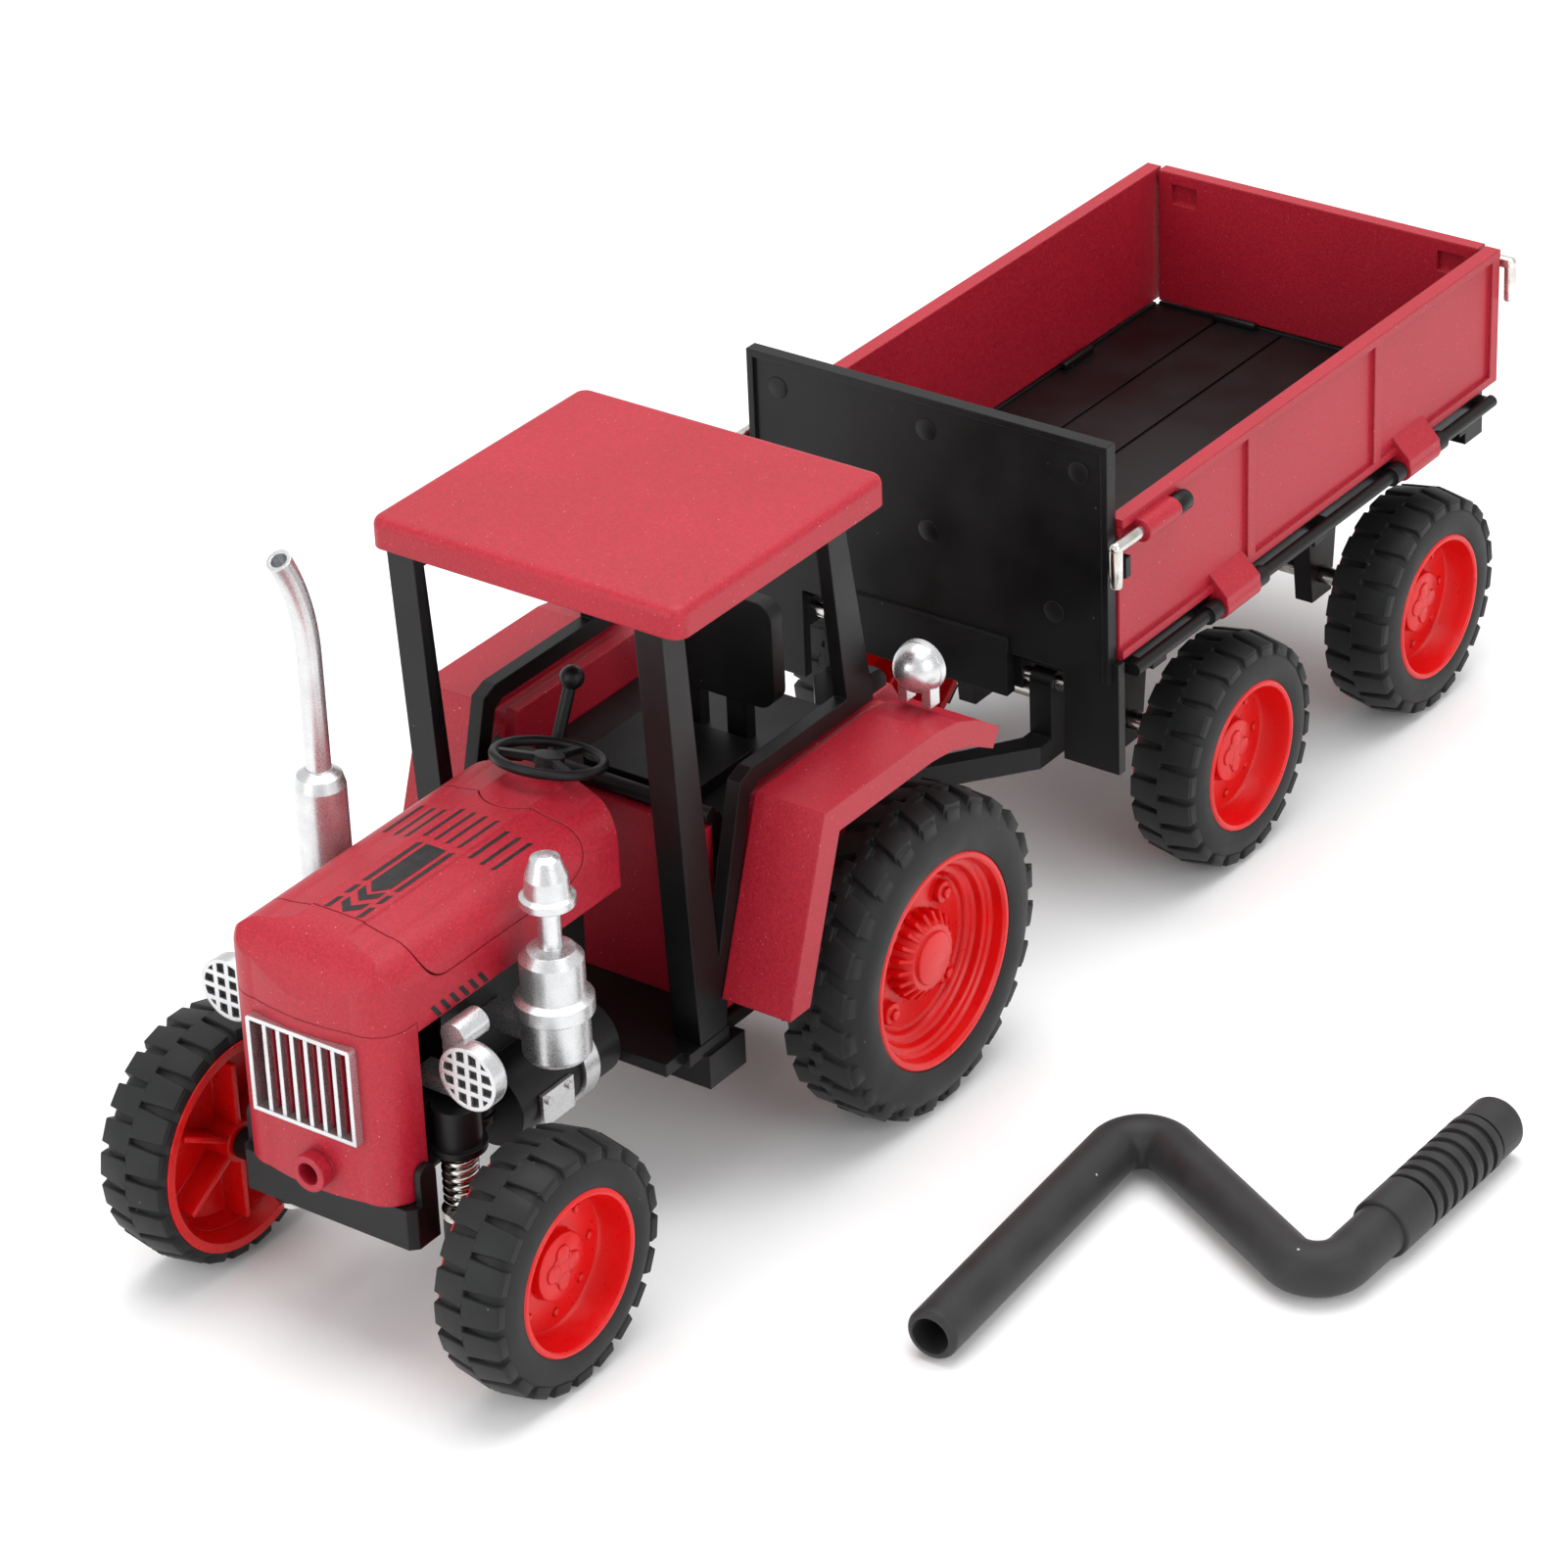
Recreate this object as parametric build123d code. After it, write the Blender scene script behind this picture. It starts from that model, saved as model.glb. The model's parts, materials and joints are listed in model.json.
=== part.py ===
from build123d import *
import os
from math import sin, cos, radians

# Toy tractor with a tipping-board trailer and a loose winding crank.  Millimetres.
# Working frame: +X forwards, +Y to the tractor's left, +Z up, ground at Z = 0,
# X = 0 at the rear axle and Y = 0 on the centre plane.  At the end every piece is
# moved so that the origin is the bottom centre of the whole set's box.

# ---------------------------------------------------------------- driving dimensions
SMALL_R = 20.0            # front and trailer tyre radius
SMALL_W = 12.4            # front and trailer wheel width
BIG_R = 26.7              # rear tyre radius
BIG_W = 13.4              # rear wheel width
FRONT_X = 89.4            # front axle
FRONT_Y = 37.8            # outer plane of the front wheels
REAR_Y = 40.0             # outer rim plane of the rear wheels
PIVOT_Y = 16.5            # kingpin and suspension axis
LEG_TRAVEL = 2.5          # suspension stroke
REAR_AXLE_R = 2.0
STUB_R = 1.5
STUB_BORE = 1.55
RUN_GAP = 0.06            # radial running clearance

NOSE_X0 = 94.6            # back of the nose casing
NOSE_X1 = 102.0           # nose front at its corners
NOSE_BULGE = 1.0          # extra length of the nose in the middle
HOOD_HALF = 15.0
HOOD_X0 = 47.0
HOOD_REAR_BULGE = 3.6
HOOD_Z0 = 56.0
TOP_ROUND = 5.5           # rounding of the bonnet's upper edge
HOOD_TOP = 70.0
NOSE_Z0 = 29.0
NOSE_SEAM_Z = 57.6
LID_X0, LID_X1 = 54.0, 92.6
LID_Z = 62.2
LID_GAP = 0.2
LID_CORNER_X, LID_CORNER_Z = 6.2, 6.3     # rounded lower corners of the lid's side
TAB_X, TAB_R = 50.6, 6.0                  # round tongue of the cowl between the ridges
RIDGE_Y, RIDGE_STEP = 4.7, 0.35           # raised strip down the middle of the bonnet
SHELL = 1.6
GRILLE_HALF, GRILLE_Z0, GRILLE_Z1 = 9.6, 39.5, 55.5
FIN_COUNT = 6
SOCKET_Y, SOCKET_Z = 1.5, 33.2
SOCKET_R, SOCKET_BORE, SOCKET_X1 = 2.95, 1.8, 105.5
SOCKET_NECK_R, SOCKET_NECK_X = 2.7, 103.4   # narrower neck between nose and stub

CAB_OUT = 25.3            # outer half width of the cab frame
CAB_IN = 22.9
FENDER_Y0, FENDER_Y1 = 25.4, 38.0
FLOOR_Z = 29.5
DECK_Z = 57.0
ROOF_X0, ROOF_X1, ROOF_HALF = -4.7, 47.4, 28.6
ROOF_Z0, ROOF_Z1 = 100.8, 105.7
ROOF_POCKET_Z = 103.0     # ceiling of the pocket that hides the cab's top rails

WHEEL_CENTRE = (43.6, 71.6)     # steering wheel, x and z
WHEEL_TILT = 15.0
GEAR_PIVOT = (38.6, -6.0, 58.9)
GEAR_BALL = (29.7, -6.0, 77.0)

HITCH_X = -27.0
BED_X0, BED_X1 = -174.3, -57.2
BED_HALF, BED_Z0, BED_Z1 = 32.5, 48.0, 50.5
BOARD_Z0, BOARD_Z1 = 51.2, 76.4
BOARD_Y0, BOARD_T = 32.9, 2.0
BOARD_X0, BOARD_X1 = -176.3, -57.4
HEAD_X0, HEAD_X1 = -57.0, -55.2
HEAD_HALF, HEAD_TOP = 34.6, 89.9
HINGE_Y, HINGE_Z = 36.6, 49.3
GATE_HINGE_X = -178.2
HINGE_R = 1.1
PITCH_X, PITCH_Z, PITCH_R = -58.5, 43.2, 1.2
TRAILER_AXLES = (-89.4, -150.6)
TRAILER_Y = 40.1
TRAILER_AXLE_R = 1.55
HINGE_TABS = (-89.0, -147.0)
TAB_LENGTH = 10.0
LATCH_R = 0.8
LATCH_Z = 73.3
LATCH_LEG = 7.2

CRANK_R = 4.2
GRIP_R = 4.9
CRANK_POINTS = [(57.6, 76.1), (-6.6, 71.2), (16.8, 116.7), (-35.9, 117.1)]
CRANK_BEND = 5.2
CRANK_BORE, CRANK_BORE_DEPTH = 3.0, 9.0
GRIP_CAP_R, GRIP_CAP, GRIP_COLLAR = 4.7, 6.4, 35.0     # grip end cap and end of its collar
RIB_COUNT, RIB_PITCH, RIB_WIDTH = 7, 2.95, 1.6

SET_CENTRE_X = (FRONT_X + SMALL_R + GATE_HINGE_X - 2.0) / 2
SET_CENTRE_Y = (CRANK_POINTS[-1][1] + GRIP_R - REAR_Y - 0.3) / 2


# ---------------------------------------------------------------- small helpers
def block(x0, x1, y0, y1, z0, z1):
    """A box between two corners."""
    centre = Pos((x0 + x1) / 2, (y0 + y1) / 2, (z0 + z1) / 2)
    return centre * Box(abs(x1 - x0), abs(y1 - y0), abs(z1 - z0))


def rod_x(x0, x1, y, z, r):
    """A cylinder along X."""
    return Pos((x0 + x1) / 2, y, z) * Rot(0, 90, 0) * Cylinder(r, abs(x1 - x0))


def rod_y(x, y0, y1, z, r):
    """A cylinder along Y."""
    return Pos(x, (y0 + y1) / 2, z) * Rot(90, 0, 0) * Cylinder(r, abs(y1 - y0))


def rod_z(x, y, z0, z1, r):
    """A cylinder along Z."""
    return Pos(x, y, (z0 + z1) / 2) * Cylinder(r, abs(z1 - z0))


def plate_xz(points, y0, y1):
    """A side outline, given as (x, z) points, extruded across from y0 to y1."""
    outline = Polyline(*[(x, y0, z) for x, z in points], close=True)
    return extrude(make_face(outline), amount=y1 - y0, dir=(0, 1, 0))


def plate_yz(points, x0, x1):
    """A front outline, given as (y, z) points, extruded from x0 to x1."""
    outline = Polyline(*[(x0, y, z) for y, z in points], close=True)
    return extrude(make_face(outline), amount=x1 - x0, dir=(1, 0, 0))


def turned(points):
    """A round body about the Y axis from (radius, y) points."""
    return revolve(make_face(Polyline(*points, close=True)), Axis.Y)


def turned_z(points):
    """A round body about the Z axis from (radius, z) points."""
    outline = Polyline(*[(r, 0, z) for r, z in points], close=True)
    return revolve(make_face(outline), Axis.Z)


def bar(start, end, r):
    """A straight round bar between two points."""
    a, b = Vector(*start), Vector(*end)
    way = b - a
    return Plane(origin=a, z_dir=way) * Pos(0, 0, way.length / 2) * Cylinder(r, way.length)


def flip(shape):
    """The same piece on the other side of the centre plane."""
    return mirror(shape, about=Plane.XZ)


def both(shape):
    """A piece and its mirror image."""
    return [shape, flip(shape)]


PARTS = {}


def keep(name, *shapes):
    """Store one node; several shapes stay separate solids in it."""
    solids = []
    for shape in shapes:
        solids += list(shape.solids())
    placed = [Pos(-SET_CENTRE_X, -SET_CENTRE_Y, 0) * s for s in solids]
    PARTS[name] = placed[0] if len(placed) == 1 else Compound(children=placed)


# ---------------------------------------------------------------- wheels
def small_rim():
    """Deep-dish wheel centre; y = 0 is its inner plane, +y faces out."""
    web_z, hub_r, hub_face = 7.0, 5.4, 9.0
    rim = turned([
        (0, 7.8), (STUB_BORE, 7.8), (STUB_BORE, 0.6), (3.2, 0.6), (3.2, 5.2), (13.2, 5.2),
        (15.8, 0), (17.3, 0), (17.3, 1.0), (14.6, 2.6), (14.6, 11.2), (12.9, SMALL_W),
        (11.9, SMALL_W), (11.0, web_z), (hub_r, web_z), (hub_r, hub_face), (0, hub_face)])
    for k in range(6):
        rim += Rot(0, 60 * k, 0) * block(2.8, 13.6, 1.0, 5.3, -0.5, 0.5)
    return rim


def small_tyre():
    """Tyre envelope for the small wheels."""
    return turned([
        (14.6, 2.6), (17.3, 1.0), (17.3, 0.0), (18.6, 0.4), (SMALL_R, 2.2), (SMALL_R, 10.4),
        (18.6, 12.0), (16.0, SMALL_W), (12.9, SMALL_W), (14.6, 11.2)])


def big_rim():
    """Stepped wheel centre for the rear wheels."""
    return turned([
        (0, 9.6), (REAR_AXLE_R, 9.6), (REAR_AXLE_R, 0.4), (4.5, 0.4), (4.5, 5.5), (16.0, 5.5),
        (19.0, 0), (22.5, 0), (22.5, 1.2), (19.2, 3.0), (19.2, 12.0), (17.6, BIG_W),
        (16.3, BIG_W), (15.6, 10.6), (14.3, 10.2), (13.6, 7.6), (7.2, 7.6), (7.2, 10.6),
        (4.8, 11.6), (0, 11.6)])


def big_tyre():
    """Tyre envelope for the rear wheels."""
    return turned([
        (19.2, 3.0), (22.5, 1.2), (22.5, 0), (24.6, 0.6), (BIG_R, 2.8), (BIG_R, 10.8),
        (25.2, 12.8), (22.0, 13.7), (19.0, 13.7), (17.6, BIG_W), (19.2, 12.0)])


front_place = Pos(FRONT_X, FRONT_Y - SMALL_W, SMALL_R)
rear_place = Pos(0, REAR_Y - BIG_W, BIG_R)
keep("front_rim_left", front_place * small_rim())
keep("front_tyre_left", front_place * small_tyre())
keep("front_rim_right", flip(front_place * small_rim()))
keep("front_tyre_right", flip(front_place * small_tyre()))
keep("rear_rims", *both(rear_place * big_rim()))
keep("rear_tyres", *both(rear_place * big_tyre()))
keep("rear_axle", rod_y(0, -(REAR_Y - BIG_W + 9.5), REAR_Y - BIG_W + 9.5, BIG_R, REAR_AXLE_R))
for label, axle_x in zip(("front", "rear"), TRAILER_AXLES):
    place = Pos(axle_x, TRAILER_Y - SMALL_W, SMALL_R)
    half = TRAILER_Y - SMALL_W + 7.7
    keep("trailer_%s_rims" % label, *both(place * small_rim()))
    keep("trailer_%s_tyres" % label, *both(place * small_tyre()))
    keep("trailer_%s_axle" % label, rod_y(axle_x, -half, half, SMALL_R, TRAILER_AXLE_R))


# ---------------------------------------------------------------- front suspension
BELL_Z0, BELL_Z1 = 34.5, 42.0
SEAT_Z0, SEAT_Z1 = 22.8, 24.0
PIN_Z0 = 14.2
PIN_R = 1.3


def suspension_leg():
    leg = rod_z(FRONT_X, PIVOT_Y, SEAT_Z1, 38.3, STUB_R)
    leg += rod_z(FRONT_X, PIVOT_Y, SEAT_Z0, SEAT_Z1, 3.2)
    leg += rod_z(FRONT_X, PIVOT_Y, PIN_Z0, SEAT_Z0, PIN_R)
    leg += rod_z(FRONT_X, PIVOT_Y, PIN_Z0 - 1.2, PIN_Z0, 2.4)
    return leg


def knuckle():
    hub = rod_z(FRONT_X, PIVOT_Y, PIN_Z0 + 0.2, SEAT_Z0 - 0.2, 3.1)
    hub += rod_y(FRONT_X, PIVOT_Y + 2.0, FRONT_Y - SMALL_W + 7.6, SMALL_R, STUB_R)
    hub += rod_y(FRONT_X, PIVOT_Y + 2.0, FRONT_Y - SMALL_W + 0.3, SMALL_R, 2.4)
    hub += block(FRONT_X - 10, FRONT_X - 1.6, PIVOT_Y - 3.0, PIVOT_Y - 0.6, 15.4, 17.2)
    hub -= rod_z(FRONT_X, PIVOT_Y, PIN_Z0, SEAT_Z0, PIN_R + RUN_GAP)
    return hub


def coil_envelope():
    tube = rod_z(FRONT_X, PIVOT_Y, SEAT_Z1 + 0.05, BELL_Z0 - 0.05, 2.9)
    return tube - rod_z(FRONT_X, PIVOT_Y, SEAT_Z1, BELL_Z0, 2.1)


for side, maker in (("left", lambda s: s), ("right", flip)):
    keep("suspension_leg_" + side, maker(suspension_leg()))
    keep("knuckle_" + side, maker(knuckle()))
    keep("spring_" + side, maker(coil_envelope()))


# ---------------------------------------------------------------- chassis and engine
def chassis():
    frame = block(22, 50, -6.5, 6.5, 24, FLOOR_Z)
    frame += block(49, 86, -6.5, 6.5, 24, 31)
    frame += block(24, 50, -24, 24, FLOOR_Z - 2.2, FLOOR_Z)
    frame += block(84, NOSE_X0 - 0.1, -13, 13, 31, BELL_Z1)
    for side in (-1, 1):
        y = side * PIVOT_Y
        frame += block(33, 42, side * 17, side * 26, 21.5, FLOOR_Z - 2.2)
        frame += block(36, 46, side * 19, side * 25.4, FLOOR_Z - 2.2, FLOOR_Z)
        frame += rod_z(FRONT_X, y, BELL_Z0, BELL_Z1, 3.6)
        frame += rod_z(FRONT_X, y, BELL_Z0, BELL_Z0 + 1.1, 4.3)
    for side in (-1, 1):
        frame -= rod_z(FRONT_X, side * PIVOT_Y, BELL_Z0 - 1, 41.2, STUB_R + RUN_GAP)
    return frame


keep("chassis_frame", chassis())

bumper = block(NOSE_X0, 100.4, -16.3, 16.3, 22, 28.8)
bumper += block(86.1, NOSE_X0, -8, 8, 22, 30.9)
bumper = chamfer(bumper.edges().filter_by(Axis.Z).group_by(Axis.X)[-1], 1.2)
for side in (-1, 1):
    bumper += block(NOSE_X0, 98.2, side * 15.2, side * 16.3, 28, 33.2)
    bumper += rod_y(NOSE_X0 + 1.8, side * 15.2, side * 16.3, 33.2, 1.8)
keep("front_bumper", bumper)

DRUM_X0, DRUM_X1, DRUM_Y, DRUM_Z, DRUM_R = 52.5, 76.0, 11.0, 32.0, 6.6


def engine():
    body = block(50, 83.8, -10, 10, 31.1, 55.0)
    for side in (-1, 1):
        drum = rod_x(DRUM_X0, DRUM_X1, side * DRUM_Y, DRUM_Z, DRUM_R)
        body += drum & block(40, 90, side * 6.7, side * 20, 20, 50)
        for k in range(5):
            body += rod_z(80.0, side * 12.0, 32.4 + 1.9 * k, 33.6 + 1.9 * k, 2.9)
        body += rod_z(80.0, side * 12.0, 31.4, 43.0, 2.2)
    return body


def engine_trim(side):
    outer = rod_x(58.3, 61.7, side * DRUM_Y, DRUM_Z, DRUM_R + 0.7)
    band = outer - rod_x(57, 63, side * DRUM_Y, DRUM_Z, DRUM_R)
    band = band & block(50, 70, side * 10.2, side * 20, 20, 50)
    cover = block(64.6, 72.0, side * (DRUM_Y + DRUM_R - 0.1), side * 18.2, 28.4, 33.8)
    cover -= rod_x(60, 80, side * DRUM_Y, DRUM_Z, DRUM_R)
    for x in (65.8, 70.8):
        cover += rod_y(x, side * 18.1, side * 18.7, 32.6, 0.6)
    return [band, cover]


keep("engine_block", engine())
keep("engine_trim", *engine_trim(1), *engine_trim(-1))

housing = block(-13, 21.9, -13, 13, 18, 50)
housing = chamfer(housing.edges().filter_by(Axis.Y), 3.0)
housing += rod_y(0, -20, 20, BIG_R, 3.2)
housing += rod_y(0, -24.6, 24.6, BIG_R, 3.0)
housing -= rod_y(0, -40, 40, BIG_R, REAR_AXLE_R + RUN_GAP)
keep("rear_axle_housing", housing)

hitch = block(-31, -13, -5, 5, 26.6, 29.2) + block(-31, -13, -5, 5, 34.4, 37.0)
hitch += block(-16, -13, -5, 5, 26.6, 37.0)
hitch += rod_z(HITCH_X, 0, 26.0, 37.8, 1.5)
hitch += rod_z(HITCH_X, 0, 37.0, 38.4, 2.6)
keep("hitch_bracket", hitch)


# ---------------------------------------------------------------- nose, grille and bonnet
def plan_outline(x_rear, rear_bulge, z0, z1, inset=0.0):
    """Bonnet outline seen from above: straight sides, round corners, bowed ends."""
    corner = 6.0
    h = HOOD_HALF - inset
    front, mid = NOSE_X1 - inset, NOSE_X1 + NOSE_BULGE - inset
    pieces = [
        Line((x_rear, -h, z0), (front - corner, -h, z0)),
        ThreePointArc((front - corner, -h, z0),
                      (front - 0.27 * corner, -h + 0.27 * corner, z0),
                      (front, -h + corner, z0)),
        ThreePointArc((front, -h + corner, z0), (mid, 0, z0), (front, h - corner, z0)),
        ThreePointArc((front, h - corner, z0),
                      (front - 0.27 * corner, h - 0.27 * corner, z0),
                      (front - corner, h, z0)),
        Line((front - corner, h, z0), (x_rear, h, z0))]
    if rear_bulge:
        pieces.append(ThreePointArc((x_rear, h, z0), (x_rear - rear_bulge, 0, z0),
                                    (x_rear, -h, z0)))
    else:
        pieces.append(Line((x_rear, h, z0), (x_rear, -h, z0)))
    return extrude(make_face(Wire(pieces)), amount=z1 - z0, dir=(0, 0, 1))


def bonnet_form(inset=0.0):
    """The outer form of the bonnet with its lid closed."""
    h, top = HOOD_HALF - inset, HOOD_TOP - inset
    z0 = HOOD_Z0 - (2 if inset else 0)
    low = top - RIDGE_STEP
    half_section = Wire([
        Line((30, 0, z0), (30, h, z0)),
        Line((30, h, z0), (30, h, top - 7)),
        ThreePointArc((30, h, top - 7), (30, h - 1.7, top - 2.7), (30, h - 6, top - 1.1)),
        Line((30, h - 6, top - 1.1), (30, RIDGE_Y + 0.3, low)),
        Line((30, RIDGE_Y + 0.3, low), (30, RIDGE_Y, top - 0.05)),
        Line((30, RIDGE_Y, top - 0.05), (30, 0, top)),
        Line((30, 0, top), (30, 0, z0))])
    half_across = extrude(make_face(half_section), amount=90, dir=(1, 0, 0))
    across = half_across + flip(half_across)
    plan = plan_outline(HOOD_X0 + inset, HOOD_REAR_BULGE, z0, top + 0.1, inset)
    rim = [e for e in plan.edges().group_by(Axis.Z)[-1] if e.center().X > HOOD_X0 + 5]
    plan = fillet(rim, TOP_ROUND)
    front = NOSE_X1 + NOSE_BULGE - inset
    side = Wire([
        Line((30, -40, z0), (front, -40, z0)),
        Line((front, -40, z0), (front, -40, 61)),
        ThreePointArc((front, -40, 61), (front - 2.9, -40, 67.2 - inset / 2),
                      (front - 10, -40, HOOD_TOP + 0.2 - inset)),
        Line((front - 10, -40, HOOD_TOP + 0.2 - inset), (30, -40, HOOD_TOP + 0.2 - inset)),
        Line((30, -40, HOOD_TOP + 0.2 - inset), (30, -40, z0))])
    profile = extrude(make_face(side), amount=80, dir=(0, 1, 0))
    return across & plan & profile


wheel_plane = Plane(origin=(WHEEL_CENTRE[0], 0, WHEEL_CENTRE[1]),
                    z_dir=(-sin(radians(WHEEL_TILT)), 0, cos(radians(WHEEL_TILT))))
COLUMN_TOP, COLUMN_LENGTH = -0.7, 7.0
column_solid = wheel_plane * Pos(0, 0, COLUMN_TOP - COLUMN_LENGTH / 2) * Cylinder(1.9, COLUMN_LENGTH)



def lid_region(gap):
    """The space the lid takes: a side outline with round lower corners, less the tongue."""
    x0, x1, z0 = LID_X0 + gap, LID_X1 - gap, LID_Z + gap
    dx, dz = LID_CORNER_X, LID_CORNER_Z
    outline = Wire([
        Line((x0, -20, 80), (x0, -20, z0 + dz)),
        ThreePointArc((x0, -20, z0 + dz), (x0 + 0.25 * dx, -20, z0 + 0.28 * dz),
                      (x0 + dx, -20, z0)),
        Line((x0 + dx, -20, z0), (x1 - dx, -20, z0)),
        ThreePointArc((x1 - dx, -20, z0), (x1 - 0.25 * dx, -20, z0 + 0.28 * dz),
                      (x1, -20, z0 + dz)),
        Line((x1, -20, z0 + dz), (x1, -20, 80)),
        Line((x1, -20, 80), (x0, -20, 80))])
    region = extrude(make_face(outline), amount=40, dir=(0, 1, 0))
    return region - rod_z(TAB_X, 0, 50, 90, TAB_R + gap)


bonnet_shell = bonnet_form() - bonnet_form(SHELL)
cowl = bonnet_shell - lid_region(0) - column_solid
cowl -= block(NOSE_X0 - 0.1, 110, -20, 20, 50, NOSE_SEAM_Z + 0.1)
lid = bonnet_shell & lid_region(LID_GAP)
keep("cowl", cowl)
keep("bonnet_lid", lid)


def nose():
    casing = plan_outline(NOSE_X0, 0, NOSE_Z0, NOSE_SEAM_Z)
    casing -= block(98.6, 110, -GRILLE_HALF + 0.7, GRILLE_HALF - 0.7,
                    GRILLE_Z0 + 0.7, GRILLE_Z1 - 0.7)
    for y in fin_places():
        casing += block(99.35, 102.2, y - 0.5, y + 0.5, GRILLE_Z0 + 0.2, GRILLE_Z1 - 0.2)
    casing += rod_x(NOSE_X0 + 1, SOCKET_NECK_X + 0.1, SOCKET_Y, SOCKET_Z, SOCKET_NECK_R)
    casing += rod_x(SOCKET_NECK_X, SOCKET_X1, SOCKET_Y, SOCKET_Z, SOCKET_R)
    casing -= rod_x(NOSE_X0 + 0.6, SOCKET_X1 + 1, SOCKET_Y, SOCKET_Z, SOCKET_BORE)
    return casing - grille()


def fin_places():
    step = 2 * (GRILLE_HALF - 0.7) / (FIN_COUNT + 1)
    return [-GRILLE_HALF + 0.7 + step * (k + 1) for k in range(FIN_COUNT)]


def grille():
    x0, x1 = 101.2, 103.6
    frame = block(x0, x1, -GRILLE_HALF, GRILLE_HALF, GRILLE_Z0, GRILLE_Z1)
    frame -= block(x0 - 1, x1 + 1, -GRILLE_HALF + 0.7, GRILLE_HALF - 0.7,
                   GRILLE_Z0 + 0.7, GRILLE_Z1 - 0.7)
    frame = fillet(frame.edges().filter_by(Axis.X).group_by(Axis.Z)[-1], 0.6)
    for y in fin_places():
        frame += block(102.2, x1 - 0.2, y - 0.35, y + 0.35, GRILLE_Z0 + 0.3, GRILLE_Z1 - 0.3)
    return frame


keep("nose_casing", nose())
keep("grille", grille())
keep("radiator_core", block(98.65, 99.3, -GRILLE_HALF + 0.75, GRILLE_HALF - 0.75,
                            GRILLE_Z0 + 0.75, GRILLE_Z1 - 0.75))

# ---------------------------------------------------------------- lamps
LAMP_X, LAMP_Y, LAMP_Z, LAMP_R = 93.2, 22.3, 49.8, 5.1


def headlight():
    drum = rod_x(LAMP_X - 3.6, LAMP_X, LAMP_Y, LAMP_Z, LAMP_R)
    drum = fillet(drum.edges().group_by(Axis.X)[0], 1.4)
    drum -= rod_x(LAMP_X - 0.7, LAMP_X + 1, LAMP_Y, LAMP_Z, LAMP_R - 0.7)
    for offset in (-2.2, 0, 2.2):
        reach = (LAMP_R ** 2 - offset ** 2) ** 0.5 - 0.3
        drum += block(LAMP_X - 0.8, LAMP_X, LAMP_Y + offset - 0.4, LAMP_Y + offset + 0.4,
                      LAMP_Z - reach, LAMP_Z + reach)
        drum += block(LAMP_X - 0.8, LAMP_X, LAMP_Y - reach, LAMP_Y + reach,
                      LAMP_Z + offset - 0.4, LAMP_Z + offset + 0.4)
    drum += rod_x(LAMP_X - 8.4, LAMP_X - 2.6, LAMP_Y - 4.4, LAMP_Z + 4.2, 2.2)
    bracket = block(LAMP_X - 6.6, LAMP_X - 2.6, LAMP_Y - 6.4, LAMP_Y - 5.2,
                    LAMP_Z - 5.2, LAMP_Z + 5.4)
    bracket += block(LAMP_X - 6.6, LAMP_X - 2.6, 10.1, LAMP_Y - 5.6, 43.6, 46.0)
    bracket += rod_y(LAMP_X - 4.6, LAMP_Y - 6.4, LAMP_Y - 3.0, LAMP_Z + 1.0, 1.8)
    return drum + bracket


keep("headlight_left", headlight())
keep("headlight_right", flip(headlight()))

TAIL_X, TAIL_Y, TAIL_Z = -9.0, 30.3, 71.4


def tail_lamp():
    ball = Pos(TAIL_X, TAIL_Y, TAIL_Z) * Sphere(4.1)
    ball = ball & block(TAIL_X, TAIL_X + 5, 0, 60, 50, 90)
    ball += rod_x(TAIL_X - 1.0, TAIL_X + 0.2, TAIL_Y, TAIL_Z, 4.2)
    for y in (TAIL_Y - 2.2, TAIL_Y + 2.2):
        ball += block(TAIL_X - 0.8, TAIL_X + 1.6, y - 0.8, y + 0.8, 65.6, TAIL_Z)
    return ball


keep("tail_lamps", *both(tail_lamp()))

# ---------------------------------------------------------------- air cleaner and exhaust
AIR_X, AIR_Y = 72.8, 22.3
air = Pos(AIR_X, AIR_Y, 0) * turned_z([
    (0, 43.4), (4.6, 43.4), (5.15, 44.2), (5.15, 50.6), (5.95, 50.9), (5.95, 53.2),
    (4.8, 53.8), (4.8, 59.8), (3.6, 61.2), (1.75, 61.6), (1.75, 68.6), (4.15, 68.8),
    (4.15, 70.0), (3.4, 70.4), (3.2, 73.2), (2.2, 76.2), (1.2, 76.7), (0, 76.8)])
air += block(AIR_X - 2, AIR_X + 2, 10.1, AIR_Y - 3, 45.0, 48.0)
keep("air_cleaner", air)

STACK_X, STACK_Y = 71.6, -20.3
muffler = Pos(STACK_X, STACK_Y, 0) * turned_z([
    (0, 57.4), (2.6, 57.4), (3.6, 58.4), (3.9, 59.6), (3.9, 74.6), (3.4, 76.4), (2.1, 77.2),
    (2.1, 77.4), (0, 77.4)])
muffler += rod_z(STACK_X, STACK_Y, 46.0, 58.0, 1.9)
muffler += rod_y(STACK_X, STACK_Y - 1.9, -10.1, 47.9, 1.9)
keep("muffler", muffler)

PIPE_BEND_Z, PIPE_BEND_R, PIPE_BEND = 96.0, 35.6, 29.4


def pipe_point(degrees):
    a = radians(degrees)
    return (STACK_X + PIPE_BEND_R * (1 - cos(a)), STACK_Y, PIPE_BEND_Z + PIPE_BEND_R * sin(a))


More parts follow.
